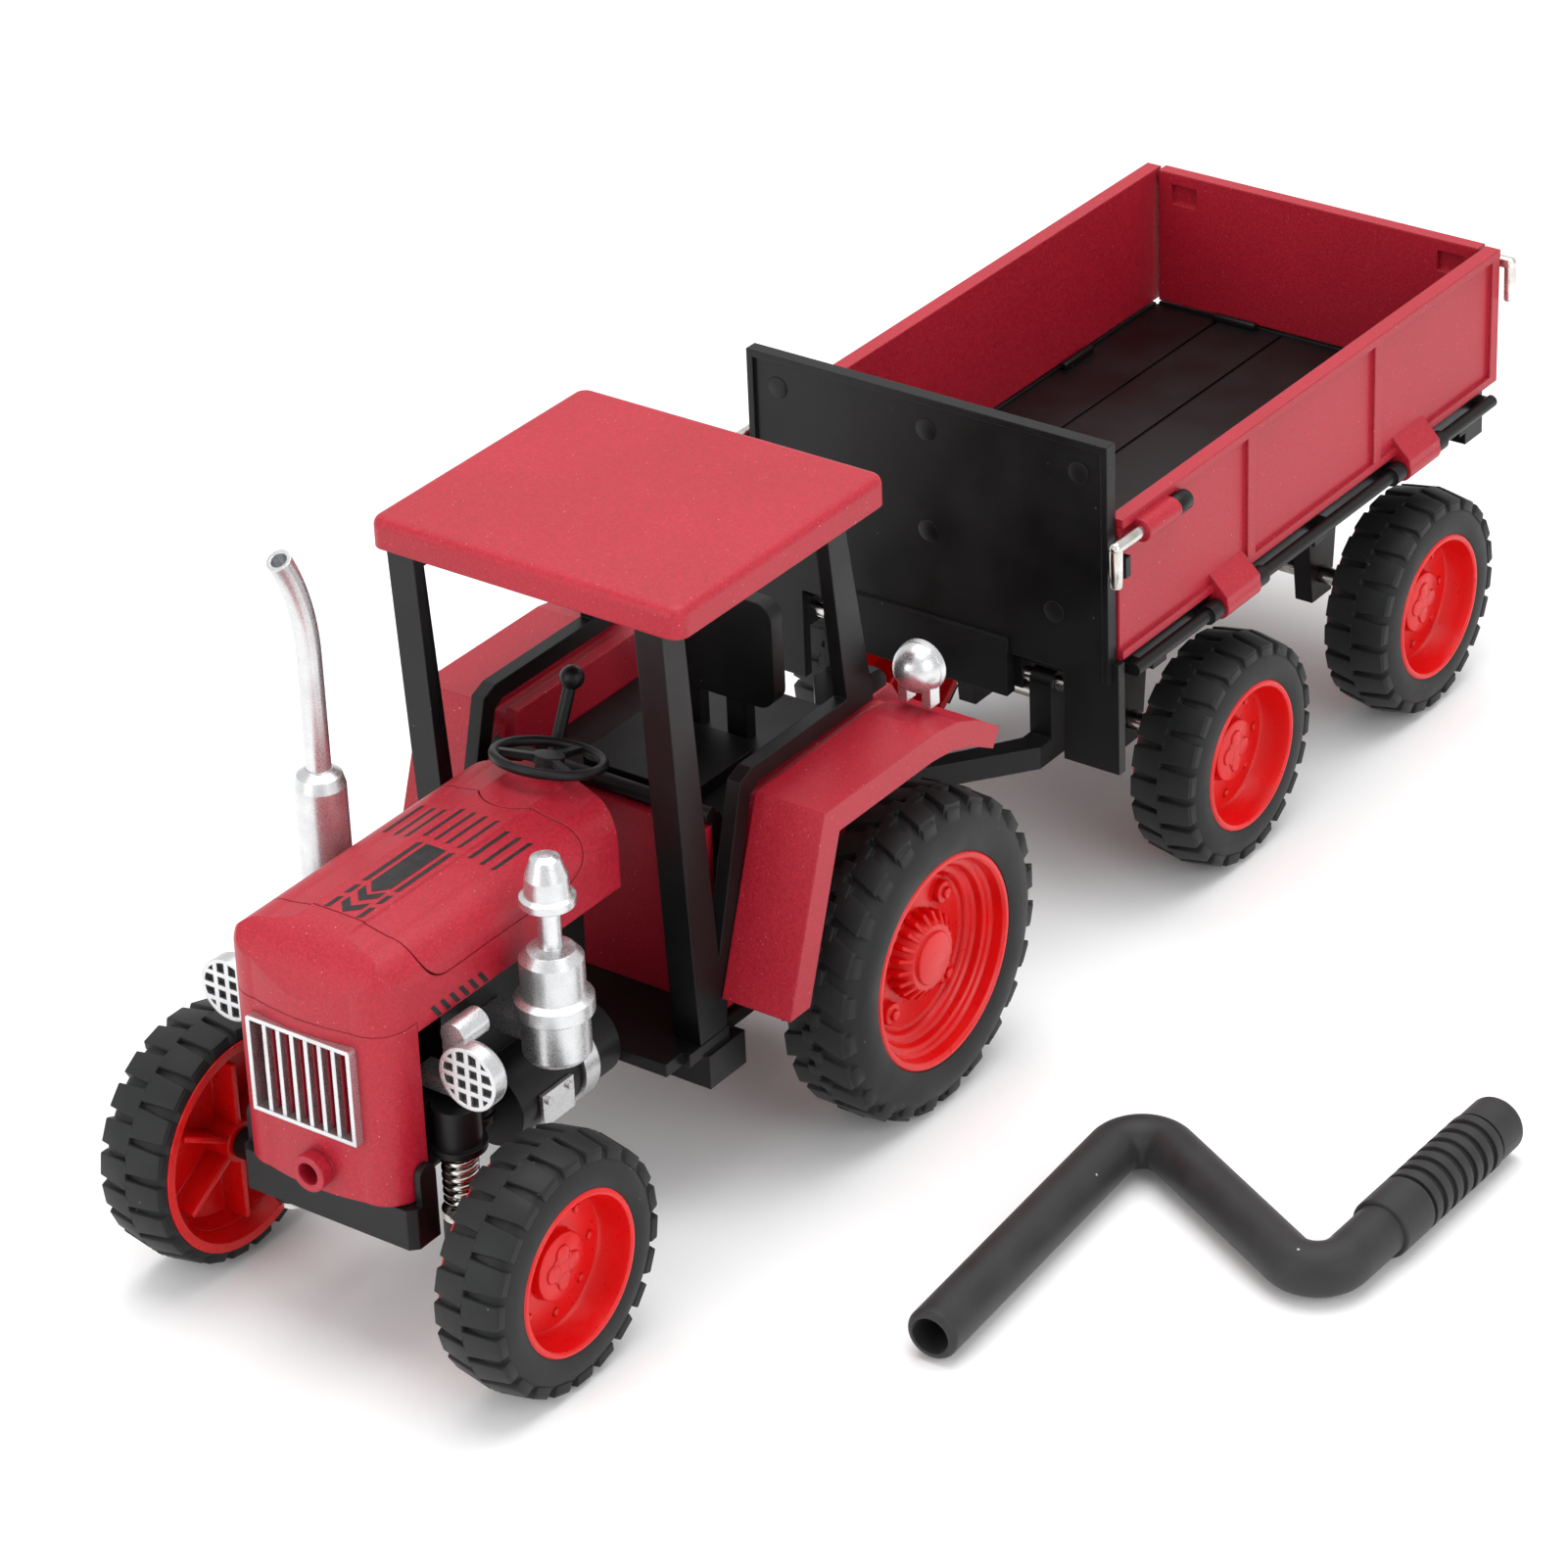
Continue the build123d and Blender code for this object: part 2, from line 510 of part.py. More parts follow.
pipe = rod_z(STACK_X, STACK_Y, 77.4, PIPE_BEND_Z, 1.9)
arc = ThreePointArc(pipe_point(0), pipe_point(PIPE_BEND / 2), pipe_point(PIPE_BEND))
pipe += sweep(Plane(origin=arc @ 0, z_dir=arc % 0) * Circle(1.9), path=arc)
tip = Vector(*pipe_point(PIPE_BEND))
tip_way = arc % 1
pipe -= Plane(origin=tip - tip_way * 3, z_dir=tip_way) * Pos(0, 0, 3) * Cylinder(1.25, 6)
keep("exhaust_pipe", pipe)


# ---------------------------------------------------------------- cab
def cab_side():
    """Left side frame: leaning front pillar, sill strips and rear pillar."""
    pillar = plate_xz([(36.6, FLOOR_Z), (43.0, FLOOR_Z), (47.2, ROOF_Z0), (42.2, ROOF_Z0)],
                      CAB_OUT - 5.0, CAB_OUT)
    pillar -= plate_xz([(35.0, FLOOR_Z + 3), (41.2, FLOOR_Z + 3), (45.3, 98.6), (40.0, 98.6)],
                       CAB_OUT - 5.2, CAB_IN)
    strips = plate_xz([(36.5, FLOOR_Z), (39.0, FLOOR_Z), (38.0, 40.0), (30.4, 68.6),
                       (27.4, 69.8), (-3.7, 69.8), (-3.7, 66.8), (26.0, 66.8), (28.0, 65.6),
                       (35.4, 38.0)], CAB_IN, CAB_OUT)
    rear = plate_xz([(2.8, 67.5), (-3.7, 67.5), (2.4, ROOF_Z0), (6.8, ROOF_Z0)], CAB_IN, CAB_OUT)
    rail = block(2.4, 45.9, CAB_IN, CAB_OUT, ROOF_Z0 - 0.3, ROOF_POCKET_Z)
    lug = plate_xz([(-3.4, 67.6), (-7.2, 67.6), (-7.2, 69.2), (-5.6, 71.2), (-3.2, 71.4)],
                   CAB_OUT - 2.0, CAB_OUT)
    return pillar + strips + rear + rail + lug


cab = cab_side() + flip(cab_side())
for x0, x1 in ((2.4, 6.0), (42.6, 45.9)):
    cab += block(x0, x1, -23.5, 23.5, ROOF_Z0 - 0.3, ROOF_POCKET_Z)
keep("cab_frame", cab)

roof = block(ROOF_X0, ROOF_X1, -ROOF_HALF, ROOF_HALF, ROOF_Z0, ROOF_Z1)
roof = fillet(roof.edges().filter_by(Axis.Z), 2.4)
roof = fillet(roof.edges().group_by(Axis.Z)[-1], 1.6)
roof -= block(2.3, 46.0, -CAB_OUT - 0.1, CAB_OUT + 0.1, ROOF_Z0 - 0.5, ROOF_POCKET_Z + 0.05)
keep("roof", roof)

FENDER_T = 1.8
FENDER_TOP = [(37.5, 35.0), (27.0, 65.6), (-2.0, 65.6), (-8.0, 64.6), (-13.6, 62.2),
              (-18.8, 58.6)]


def lowered(points, drop_x, drop_z):
    return [(x - drop_x, z - drop_z) for x, z in points]


def fender():
    """Left mudguard: outer cover, hanging side flange and the wall inside the cab."""
    under = [(35.6, 35.0), (25.7, 63.8), (-1.8, 63.8), (-7.3, 62.9), (-12.7, 60.6),
             (-17.6, 57.2)]
    cover = plate_xz(FENDER_TOP + under[::-1], FENDER_Y0 + 0.05, FENDER_Y1)
    rim = [(32.4, 35.0), (23.4, 61.0), (-1.0, 61.0), (-6.0, 60.4), (-11.4, 58.6), (-17.0, 55.6)]
    flange = plate_xz(FENDER_TOP + rim[::-1], FENDER_Y1 - 1.8, FENDER_Y1)
    wall = plate_xz([(35.0, 30.0), (25.4, 64.8), (-12, 64.8), (-15, 60.0), (-15, 30.0)],
                    CAB_IN - 2.3, CAB_IN - 0.1)
    web = plate_xz([(25.8, 64.0), (-8.0, 64.0), (-8.0, 62.4), (25.8, 62.4)],
                   CAB_IN - 0.2, FENDER_Y0 + 0.5)
    front_web = plate_xz([(35.8, 35.0), (27.0, 62.4), (25.4, 62.4), (33.8, 35.0)],
                         CAB_IN - 0.2, FENDER_Y0 + 0.5)
    strips = plate_xz([(39.2, FLOOR_Z - 1), (38.1, 40.0), (30.5, 68.7), (27.4, 69.9),
                       (-3.8, 69.9), (-3.8, 66.7), (26.0, 66.7), (27.9, 65.5),
                       (35.3, 38.0), (36.4, FLOOR_Z - 1)], CAB_IN - 0.05, CAB_OUT + 0.04)
    return cover + flange + wall + ((web + front_web) - strips)


keep("fender_left", fender())
keep("fender_right", flip(fender()))

# ---------------------------------------------------------------- driver's place
deck = plate_xz([(-12, DECK_Z - 2), (31.3, DECK_Z - 2), (31.3, 62.0), (29.6, 62.0),
                 (26.5, DECK_Z), (-12, DECK_Z)], -20.4, 20.4)
deck += rod_y(31.4, -20.4, 20.4, 62.0, 1.3)
deck += block(-10, -6, -13, 13, 50.05, DECK_Z - 1.5)
deck += block(14, 18, -13, 13, 50.05, DECK_Z - 1.5)
keep("driver_deck", deck)

box_front = block(31.45, 33.4, -20.4, 20.4, FLOOR_Z + 0.05, 60.4)
box_front += block(33.4, 41.5, -9.0, -3.0, 54.6, 57.0)
keep("driver_box", box_front)

seat = block(0.6, 3.6, -12, 12, 64, 82)
seat = fillet(seat.edges().filter_by(Axis.X), 3.0)
for y in (-4.4, 4.4):
    seat += block(0.9, 3.3, y - 1.8, y + 1.8, DECK_Z + 0.02, 65)
cushion = block(6, 24, -11, 11, DECK_Z + 0.02, DECK_Z + 2.4)
cushion = fillet(cushion.edges().filter_by(Axis.Z), 3.0)
keep("seat", seat, cushion)

steering = wheel_plane * Torus(8.2, 0.8)
steering += wheel_plane * Cylinder(2.4, 1.2)
for k in range(3):
    steering += wheel_plane * Rot(0, 0, 120 * k + 60) * Pos(5.0, 0, 0) * Box(6.4, 1.3, 1.0)
steering += wheel_plane * Pos(0, 0, -3.0) * Cylinder(0.9, 5.6)
keep("steering_wheel", steering)
keep("steering_column", column_solid - wheel_plane * Pos(0, 0, -3) * Cylinder(0.9 + RUN_GAP, 6.6))

lever = bar(GEAR_PIVOT, GEAR_BALL, 1.0)
lever += Pos(*GEAR_BALL) * Sphere(1.9)
lever += Pos(*GEAR_PIVOT) * Sphere(1.6)
keep("gear_lever", lever)

# ---------------------------------------------------------------- drawbar and trailer frame
eye = rod_z(HITCH_X, 0, 29.4, 34.2, 3.6)
for side in (-1, 1):
    arm = Polyline((HITCH_X - 1.0, side * 0.6), (HITCH_X - 1.0, side * 3.4),
                   (-53.0, side * 22.4), (-60.5, side * 22.4), (-60.5, side * 18.2),
                   (-54.2, side * 18.2), close=True)
    eye += Pos(0, 0, 29.8) * extrude(make_face(arm), amount=4.0, dir=(0, 0, 1))
    eye += block(-60.5, -56.4, side * 18.2, side * 22.4, 30.0, 43.2)
    eye += rod_y(PITCH_X, side * 18.2, side * 22.4, PITCH_Z, 2.1)
for side in (-1, 1):
    eye -= rod_y(PITCH_X, side * 17, side * 24, PITCH_Z, PITCH_R + RUN_GAP)
eye -= rod_z(HITCH_X, 0, 28, 36, 1.5 + RUN_GAP)
keep("drawbar", eye)
keep("pitch_pins", *both(rod_y(PITCH_X, 14.2, 27.8, PITCH_Z, PITCH_R)))


def trailer_frame():
    frame = block(-172, -58.0, -2.5, 2.5, 43, BED_Z0)
    frame += block(-61, -57.1, -28.2, 28.2, 46.2, BED_Z0)
    for side in (-1, 1):
        frame += block(-172, -57.1, side * 13, side * 16.4, 41, BED_Z0)
        frame += block(-60.7, -57.1, side * 25.6, side * 28.2, 40.6, BED_Z0)
        frame += block(-173.8, -168, side * 29, side * 34.4, 42.4, BED_Z0)
    for x in (-70, -120, -168):
        frame += block(x - 2, x + 2, -34.4, 34.4, 44.6, BED_Z0)
    for x in TRAILER_AXLES:
        frame += block(x - 5, x + 5, -16.4, 16.4, 41, 45)
        for side in (-1, 1):
            frame += plate_xz([(x - 6, 41.2), (x + 6, 41.2), (x + 3.2, 15.6), (x - 3.2, 15.6)],
                              min(side * 13, side * 16.4), max(side * 13, side * 16.4))
        frame -= rod_y(x, -20, 20, SMALL_R, TRAILER_AXLE_R + RUN_GAP)
    for side in (-1, 1):
        frame -= rod_y(PITCH_X, side * 14.2, side * 27.8, PITCH_Z, PITCH_R)
    return frame


keep("trailer_chassis", trailer_frame())

bed = block(BED_X0, BED_X1, -BED_HALF, BED_HALF, BED_Z0, BED_Z1)
for k in range(1, 5):
    y = -BED_HALF + 2 * BED_HALF * k / 5
    bed -= block(BED_X0 - 1, BED_X1 + 1, y - 0.3, y + 0.3, BED_Z1 - 0.5, BED_Z1 + 1)
keep("trailer_floor", bed)

head = block(HEAD_X0, HEAD_X1, -HEAD_HALF, HEAD_HALF, BED_Z0, HEAD_TOP)
head += block(HEAD_X1 - 0.1, HEAD_X1 + 0.6, -HEAD_HALF, HEAD_HALF, BED_Z0, HEAD_TOP)
head -= block(HEAD_X1, HEAD_X1 + 1, -HEAD_HALF + 1.2, HEAD_HALF - 1.2, BED_Z0 - 1,
              HEAD_TOP - 1.2)
head += block(HEAD_X0, HEAD_X1 + 0.5, -15, 15, 40.2, 50.6)
for side in (-1, 1):
    head += block(HEAD_X0, HEAD_X1, side * 25.6, side * 36.1, 31.7, 51.6)
    head += block(HEAD_X0, HEAD_X1 - 0.4, side * 34.0, side * 37.4, 67.4, 71.0)
keep("headboard", head)

# ---------------------------------------------------------------- hinged boards
KNUCKLE_W = 3.0


def hinge_rail():
    """Left hinge rod with the black knuckles that carry it."""
    rail = rod_x(-173.0, -59.0, HINGE_Y, HINGE_Z, HINGE_R)
    for tab in HINGE_TABS:
        for side in (-1, 1):
            x = tab + side * (TAB_LENGTH / 2 + 0.4 + KNUCKLE_W / 2)
            rail += rod_x(x - KNUCKLE_W / 2, x + KNUCKLE_W / 2, HINGE_Y, HINGE_Z, 1.7)
            rail += block(x - KNUCKLE_W / 2, x + KNUCKLE_W / 2, BED_HALF + 0.05, HINGE_Y,
                          HINGE_Z - 1.7, HINGE_Z + 1.0)
    for x in (-171.5, -118.0, -60.5):
        rail += block(x - 1.5, x + 1.5, BED_HALF + 0.05, HINGE_Y, HINGE_Z - 1.1, HINGE_Z + 0.6)
    return rail


GATE_TABS = (-16.0, 16.0)


def gate_rail():
    """Rear hinge rod along Y."""
    rail = rod_y(GATE_HINGE_X, -26.0, 26.0, HINGE_Z, HINGE_R)
    for y in (-25.0, -9.2, 9.2, 25.0):
        rail += block(GATE_HINGE_X, BED_X0 - 0.05, y - 1.2, y + 1.2, HINGE_Z - 1.1, HINGE_Z + 0.6)
    return rail


keep("hinge_rails", hinge_rail(), flip(hinge_rail()), gate_rail())


def side_board():
    """Left side board with flanges, ribs, hinge tabs and latch barrel."""
    y0, y1 = BOARD_Y0, BOARD_Y0 + BOARD_T
    board = block(BOARD_X0, BOARD_X1, y0, y1, BOARD_Z0, BOARD_Z1)
    board += block(BOARD_X0, BOARD_X1, y1, y1 + 0.8, BOARD_Z1 - 1.5, BOARD_Z1)
    board += block(BOARD_X0, BOARD_X1, y1, y1 + 0.7, BOARD_Z0 + 0.4, BOARD_Z0 + 1.9)
    for x in (-96.0, -136.0, BOARD_X0 + 1.2):
        board += block(x - 1.2, x + 1.2, y1, y1 + 0.7, BOARD_Z0 + 0.4, BOARD_Z1)
    for tab in HINGE_TABS:
        x0, x1 = tab - TAB_LENGTH / 2, tab + TAB_LENGTH / 2
        board += rod_x(x0, x1, HINGE_Y, HINGE_Z, 2.1)
        board += plate_yz([(y1 - 0.1, 55.0), (y1 - 0.1, 51.4), (HINGE_Y - 1.2, HINGE_Z + 1.0),
                           (HINGE_Y + 2.0, HINGE_Z), (HINGE_Y + 1.8, 51.4)], x0, x1)
        board -= rod_x(x0 - 1, x1 + 1, HINGE_Y, HINGE_Z, HINGE_R + RUN_GAP)
    board += rod_x(-70.4, -61.0, HINGE_Y, LATCH_Z, 1.9)
    board += block(-70.4, -61.0, y1 - 0.1, HINGE_Y, LATCH_Z - 1.9, LATCH_Z + 1.9)
    board -= rod_x(-72, -60, HINGE_Y, LATCH_Z, LATCH_R + RUN_GAP)
    return board


def tailgate():
    x0, x1 = BOARD_X0, BOARD_X0 + 1.8
    gate = block(x0, x1, -32.3, 32.3, BOARD_Z0, BOARD_Z1)
    gate += block(x0 - 0.7, x0, -32.3, 32.3, BOARD_Z1 - 1.5, BOARD_Z1)
    gate += block(x0 - 0.7, x0, -32.3, 32.3, BOARD_Z0 + 0.4, BOARD_Z0 + 1.9)
    for y in (-31.1, 0, 31.1):
        gate += block(x0 - 0.7, x0, y - 1.2, y + 1.2, BOARD_Z0 + 0.4, BOARD_Z1)
    for y in GATE_TABS:
        gate += rod_y(GATE_HINGE_X, y - 5, y + 5, HINGE_Z, 2.0)
        gate += plate_xz([(x0 + 0.1, 55.0), (x0 + 0.1, 51.4), (GATE_HINGE_X + 1.2, HINGE_Z + 1),
                          (GATE_HINGE_X - 1.9, HINGE_Z), (GATE_HINGE_X - 1.7, 51.4)],
                         y - 5, y + 5)
        gate -= rod_y(GATE_HINGE_X, y - 6, y + 6, HINGE_Z, HINGE_R + RUN_GAP)
    for side in (-1, 1):
        gate += rod_y(GATE_HINGE_X, side * 25.0, side * 31.6, LATCH_Z, 1.8)
        gate += block(GATE_HINGE_X, x0 + 0.1, side * 25.0, side * 31.6,
                      LATCH_Z - 1.8, LATCH_Z + 1.8)
        gate -= rod_y(GATE_HINGE_X, side * 24, side * 33, LATCH_Z, LATCH_R + RUN_GAP)
        gate -= block(x1 - 0.9, x1 + 1, side * 24.4, side * 29.6, 70.6, 74.2)
    return gate


keep("side_board_left", side_board())
keep("side_board_right", flip(side_board()))
keep("tailgate", tailgate())


def front_latch():
    """Chrome rod along X with a leg hanging in front of the headboard lug."""
    hook_x = HEAD_X1 + 1.2
    latch = rod_x(-71.0, hook_x, HINGE_Y, LATCH_Z, LATCH_R)
    latch += Pos(hook_x, HINGE_Y, LATCH_Z) * Sphere(LATCH_R)
    latch += rod_z(hook_x, HINGE_Y, LATCH_Z - LATCH_LEG, LATCH_Z, LATCH_R)
    latch += rod_x(-74.4, -70.8, HINGE_Y, LATCH_Z, 1.6)
    return latch


def rear_latch():
    """Chrome rod along Y with a leg behind the end of the side board."""
    latch = rod_y(GATE_HINGE_X, 24.0, HINGE_Y, LATCH_Z, LATCH_R)
    latch += Pos(GATE_HINGE_X, HINGE_Y, LATCH_Z) * Sphere(LATCH_R)
    latch += rod_z(GATE_HINGE_X, HINGE_Y, LATCH_Z - LATCH_LEG, LATCH_Z, LATCH_R)
    latch += rod_y(GATE_HINGE_X, 22.6, 24.6, LATCH_Z, 1.6)
    return latch


keep("latch_front_left", front_latch())
keep("latch_front_right", flip(front_latch()))
keep("latch_rear_left", rear_latch())
keep("latch_rear_right", flip(rear_latch()))

# ---------------------------------------------------------------- loose winding crank
crank_line = FilletPolyline(*[(x, y, GRIP_R) for x, y in CRANK_POINTS], radius=CRANK_BEND)
shaft_way = Vector(crank_line % 0)
crank_foot = Plane(origin=Vector(crank_line @ 0), z_dir=shaft_way)
crank = sweep(crank_foot * Circle(CRANK_R), path=crank_line)
end_ring = crank_foot * Pos(0, 0, 0.6) * Cylinder(CRANK_R + 0.5, 1.2)
rounded_end = fillet(Cylinder(CRANK_R, 2.4).edges().group_by(Axis.Z)[0], 1.1)
crank -= end_ring
crank += crank_foot * Pos(0, 0, 1.2) * rounded_end
crank -= (crank_foot * Pos(0, 0, CRANK_BORE_DEPTH / 2 - 0.5)
          * Cylinder(CRANK_BORE, CRANK_BORE_DEPTH + 1))
grip = Plane(origin=Vector(crank_line @ 1), z_dir=Vector(crank_line % 1) * -1)
cap = fillet(Cylinder(GRIP_CAP_R, GRIP_CAP).edges().group_by(Axis.Z)[0], 1.0)
crank += grip * Pos(0, 0, GRIP_CAP / 2) * cap
for k in range(RIB_COUNT):
    crank += grip * Pos(0, 0, GRIP_CAP + RIB_PITCH * (k + 0.5)) * Cylinder(GRIP_R, RIB_WIDTH)
collar_start = GRIP_CAP + RIB_PITCH * RIB_COUNT + 0.2
collar_length = GRIP_COLLAR - collar_start
collar = fillet(Cylinder(GRIP_R, collar_length).edges().group_by(Axis.Z)[-1], 0.5)
crank += grip * Pos(0, 0, collar_start + collar_length / 2) * collar
keep("crank", crank)

# ---------------------------------------------------------------- write the nodes
os.makedirs("parts", exist_ok=True)
for name, shape in PARTS.items():
    export_step(shape, "parts/%s.step" % name)
print(len(PARTS), "nodes written, centre moved by", round(SET_CENTRE_X, 2), round(SET_CENTRE_Y, 2))
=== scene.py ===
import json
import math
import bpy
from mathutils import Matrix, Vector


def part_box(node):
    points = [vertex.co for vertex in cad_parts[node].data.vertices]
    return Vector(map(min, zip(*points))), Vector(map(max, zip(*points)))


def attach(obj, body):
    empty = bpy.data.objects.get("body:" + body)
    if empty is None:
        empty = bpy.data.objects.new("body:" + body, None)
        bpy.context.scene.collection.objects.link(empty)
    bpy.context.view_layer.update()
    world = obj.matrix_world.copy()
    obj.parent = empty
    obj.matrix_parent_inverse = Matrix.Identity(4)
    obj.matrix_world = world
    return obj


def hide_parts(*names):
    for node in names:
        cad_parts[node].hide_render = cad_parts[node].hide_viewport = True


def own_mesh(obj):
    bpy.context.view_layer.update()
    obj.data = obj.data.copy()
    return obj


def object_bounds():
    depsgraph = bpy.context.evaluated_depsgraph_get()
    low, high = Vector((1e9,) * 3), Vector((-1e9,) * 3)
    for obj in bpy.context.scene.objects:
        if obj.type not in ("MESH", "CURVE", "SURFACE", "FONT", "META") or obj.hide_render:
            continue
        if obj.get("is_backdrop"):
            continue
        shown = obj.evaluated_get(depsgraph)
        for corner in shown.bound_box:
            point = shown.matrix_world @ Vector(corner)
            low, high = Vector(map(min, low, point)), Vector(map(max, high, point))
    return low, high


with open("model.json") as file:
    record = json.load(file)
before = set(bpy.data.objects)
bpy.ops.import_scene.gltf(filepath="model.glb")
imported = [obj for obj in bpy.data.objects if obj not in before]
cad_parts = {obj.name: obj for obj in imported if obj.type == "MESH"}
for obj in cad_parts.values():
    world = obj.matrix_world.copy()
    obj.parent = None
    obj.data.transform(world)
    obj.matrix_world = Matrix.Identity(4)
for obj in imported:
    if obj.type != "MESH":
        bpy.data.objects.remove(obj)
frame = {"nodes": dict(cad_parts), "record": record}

# %% [markdown]
# # A toy tractor and its drop-side trailer
# The real thing is a tin-and-plastic toy: pressed panels sprayed with a crimson sparkle
# paint, a black plastic frame, silver lamps and pipes, red wheel centres and ribbed tyres.
# The engineering model already holds every panel at its right size. This lesson keeps
# those panels, gives them finishes, and models the parts where shape is the detail:
# tyres, wheel centres, springs, stickers, lamp backings, latches and floor edges.

MM = 0.001
CAD_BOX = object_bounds()
axle_low, axle_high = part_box("rear_axle")
REAR_AXLE = Vector(((axle_low.x + axle_high.x) / 2, (axle_low.y + axle_high.y) / 2, 0))


def at(x, y, z):
    """Millimetres from the rear axle, the centre plane and the floor, as a scene point."""
    return REAR_AXLE + Vector((x, y, z)) * MM


print("the rear axle stands at", [round(v / MM, 2) for v in REAR_AXLE])

# %% [markdown]
# ## Small helpers for modelling
# Every piece starts as a primitive and is shaped with the same operators a person would
# click. Operators act on whatever is selected, so each helper first lets go of everything.
# `turn` draws an outline of (radius, along) points by extruding one vertex, then spins it
# about the Y axis like a lathe. `slab` is a box with rounded edges. `bar` is a round bar.


# %% Modelling helpers
def let_go():
    """Leave edit mode and deselect everything."""
    if bpy.context.object and bpy.context.object.mode != "OBJECT":
        bpy.ops.object.mode_set(mode="OBJECT")
    bpy.ops.object.select_all(action="DESELECT")


def hold(*pieces):
    """Select these pieces and make the first one active."""
    let_go()
    for piece in pieces:
        piece.select_set(True)
    bpy.context.view_layer.objects.active = pieces[0]
    return pieces[0]


def bake_place(piece):
    """Move an object's place, turn and size into its mesh."""
    hold(piece)
    bpy.ops.object.transform_apply(location=True, rotation=True, scale=True)
    return piece


def use_modifier(piece, kind, **settings):
    """Add one modifier, set it and apply it."""
    hold(piece)
    modifier = piece.modifiers.new(kind.title(), kind)
    for name, value in settings.items():
        setattr(modifier, name, value)
    bpy.ops.object.modifier_apply(modifier=modifier.name)
    return piece


def turn(outline, steps=64, closed=True):
    """A round piece about the Y axis through the world's centre, from (radius, along) mm."""
    let_go()
    bpy.ops.mesh.primitive_plane_add(size=MM)
    bpy.ops.object.mode_set(mode="EDIT")
    bpy.ops.mesh.select_all(action="SELECT")
    bpy.ops.mesh.merge(type="CENTER")
    points = [Vector((r * MM, y * MM, 0)) for r, y in outline]
    bpy.ops.transform.translate(value=points[0])
    if closed:
        points.append(points[0])
    for before, after in zip(points, points[1:]):
        bpy.ops.mesh.extrude_region_move(TRANSFORM_OT_translate={"value": after - before})
    bpy.ops.mesh.select_all(action="SELECT")
    bpy.ops.mesh.remove_doubles(threshold=1e-6)
    bpy.ops.mesh.select_all(action="SELECT")
    bpy.ops.mesh.spin(steps=steps, angle=2 * math.pi, center=(0, 0, 0), axis=(0, 1, 0))
    bpy.ops.mesh.select_all(action="SELECT")
    bpy.ops.mesh.remove_doubles(threshold=2e-6)
    bpy.ops.mesh.normals_make_consistent(inside=False)
    bpy.ops.object.mode_set(mode="OBJECT")
    return bpy.context.object


def slab(size, centre=(0, 0, 0), edge=0.3, segments=2):
    """A box of (x, y, z) mm with rounded edges, its centre in mm from the world's centre."""
    let_go()
    bpy.ops.mesh.primitive_cube_add(size=MM, location=Vector(centre) * MM)
    piece = bpy.context.object
    piece.scale = size
    bake_place(piece)
    if edge:
        use_modifier(piece, "BEVEL", width=edge * MM, segments=segments)
    return piece


def bar(start, end, radius, sides=20, edge=0.0):
    """A round bar between two points in mm."""
    let_go()
    a, b = Vector(start) * MM, Vector(end) * MM
    bpy.ops.mesh.primitive_cylinder_add(vertices=sides, radius=radius * MM,
                                        depth=(b - a).length, location=(a + b) / 2)
    piece = bpy.context.object
    piece.rotation_euler = (b - a).to_track_quat("Z", "Y").to_euler()
    bake_place(piece)
    if edge:
        use_modifier(piece, "BEVEL", width=edge * MM, segments=2, limit_method="ANGLE")
    return piece


def face_out(piece):
    """Turn every face of a closed piece outwards."""
    hold(piece)
    bpy.ops.object.mode_set(mode="EDIT")
    bpy.ops.mesh.select_all(action="SELECT")
    bpy.ops.mesh.normals_make_consistent(inside=False)
    bpy.ops.object.mode_set(mode="OBJECT")


def from_axle(piece):
    """Carry a piece that was measured from the rear axle to the axle's real place."""
    piece.data.transform(Matrix.Translation(REAR_AXLE))
    return piece


def copy_of(piece, matrix):
    """A copy with its own mesh, moved by a matrix."""
    twin = piece.copy()
    twin.data = piece.data.copy()
    bpy.context.collection.objects.link(twin)
    twin.data.transform(matrix)
    return twin


def joined(*pieces):
    """Several pieces made one object."""
    hold(*pieces)
    if len(pieces) > 1:
        bpy.ops.object.join()
    return bpy.context.object


def ring_of(piece, count, axis="Y", start=0.0):
    """Copies of a piece around an axis, joined; the first one is used up."""
    copies = []
    for k in range(count):
        turned = Matrix.Rotation(2 * math.pi * k / count + start, 4, axis)
        copies.append(copy_of(piece, turned))
    bpy.data.objects.remove(piece)
    return joined(*copies)


def pull_points(piece, choose, move):
    """In edit mode, move the vertices that a test on their place (mm) chooses."""
    hold(piece)
    bpy.ops.object.mode_set(mode="EDIT")
    bpy.ops.mesh.select_all(action="DESELECT")
    bpy.ops.object.mode_set(mode="OBJECT")
    for vertex in piece.data.vertices:
        vertex.select = choose(vertex.co / MM)
    bpy.ops.object.mode_set(mode="EDIT")
    bpy.ops.transform.translate(value=Vector(move) * MM)
    bpy.ops.object.mode_set(mode="OBJECT")
    return piece


def fit(piece, name, body, finish, slot, *nodes, smooth=35):
    """Name a finished piece, give it its finish and let it ride on a body."""
    bake_place(piece)
    piece.name = name
    piece.data.name = name
    piece.data.materials.clear()
    piece.data.materials.append(finish)
    hold(piece)
    bpy.ops.object.shade_smooth_by_angle(angle=math.radians(smooth))
    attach(piece, body)
    if nodes:
        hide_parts(*nodes)
    print(name, "rides on", body, "with", len(piece.data.polygons), "faces")
    return piece


# %% [markdown]
# ## Finishes
# A finish is built from what the real surface is. One helper adds a node with its settings
# and links. Colours are written as the sRGB hex a paint card would give and turned linear
# by one function. All patterns read Object coordinates in metres, so their scale is worked
# out from a size in millimetres: a pattern of size s mm needs a scale of about 1000 / s.


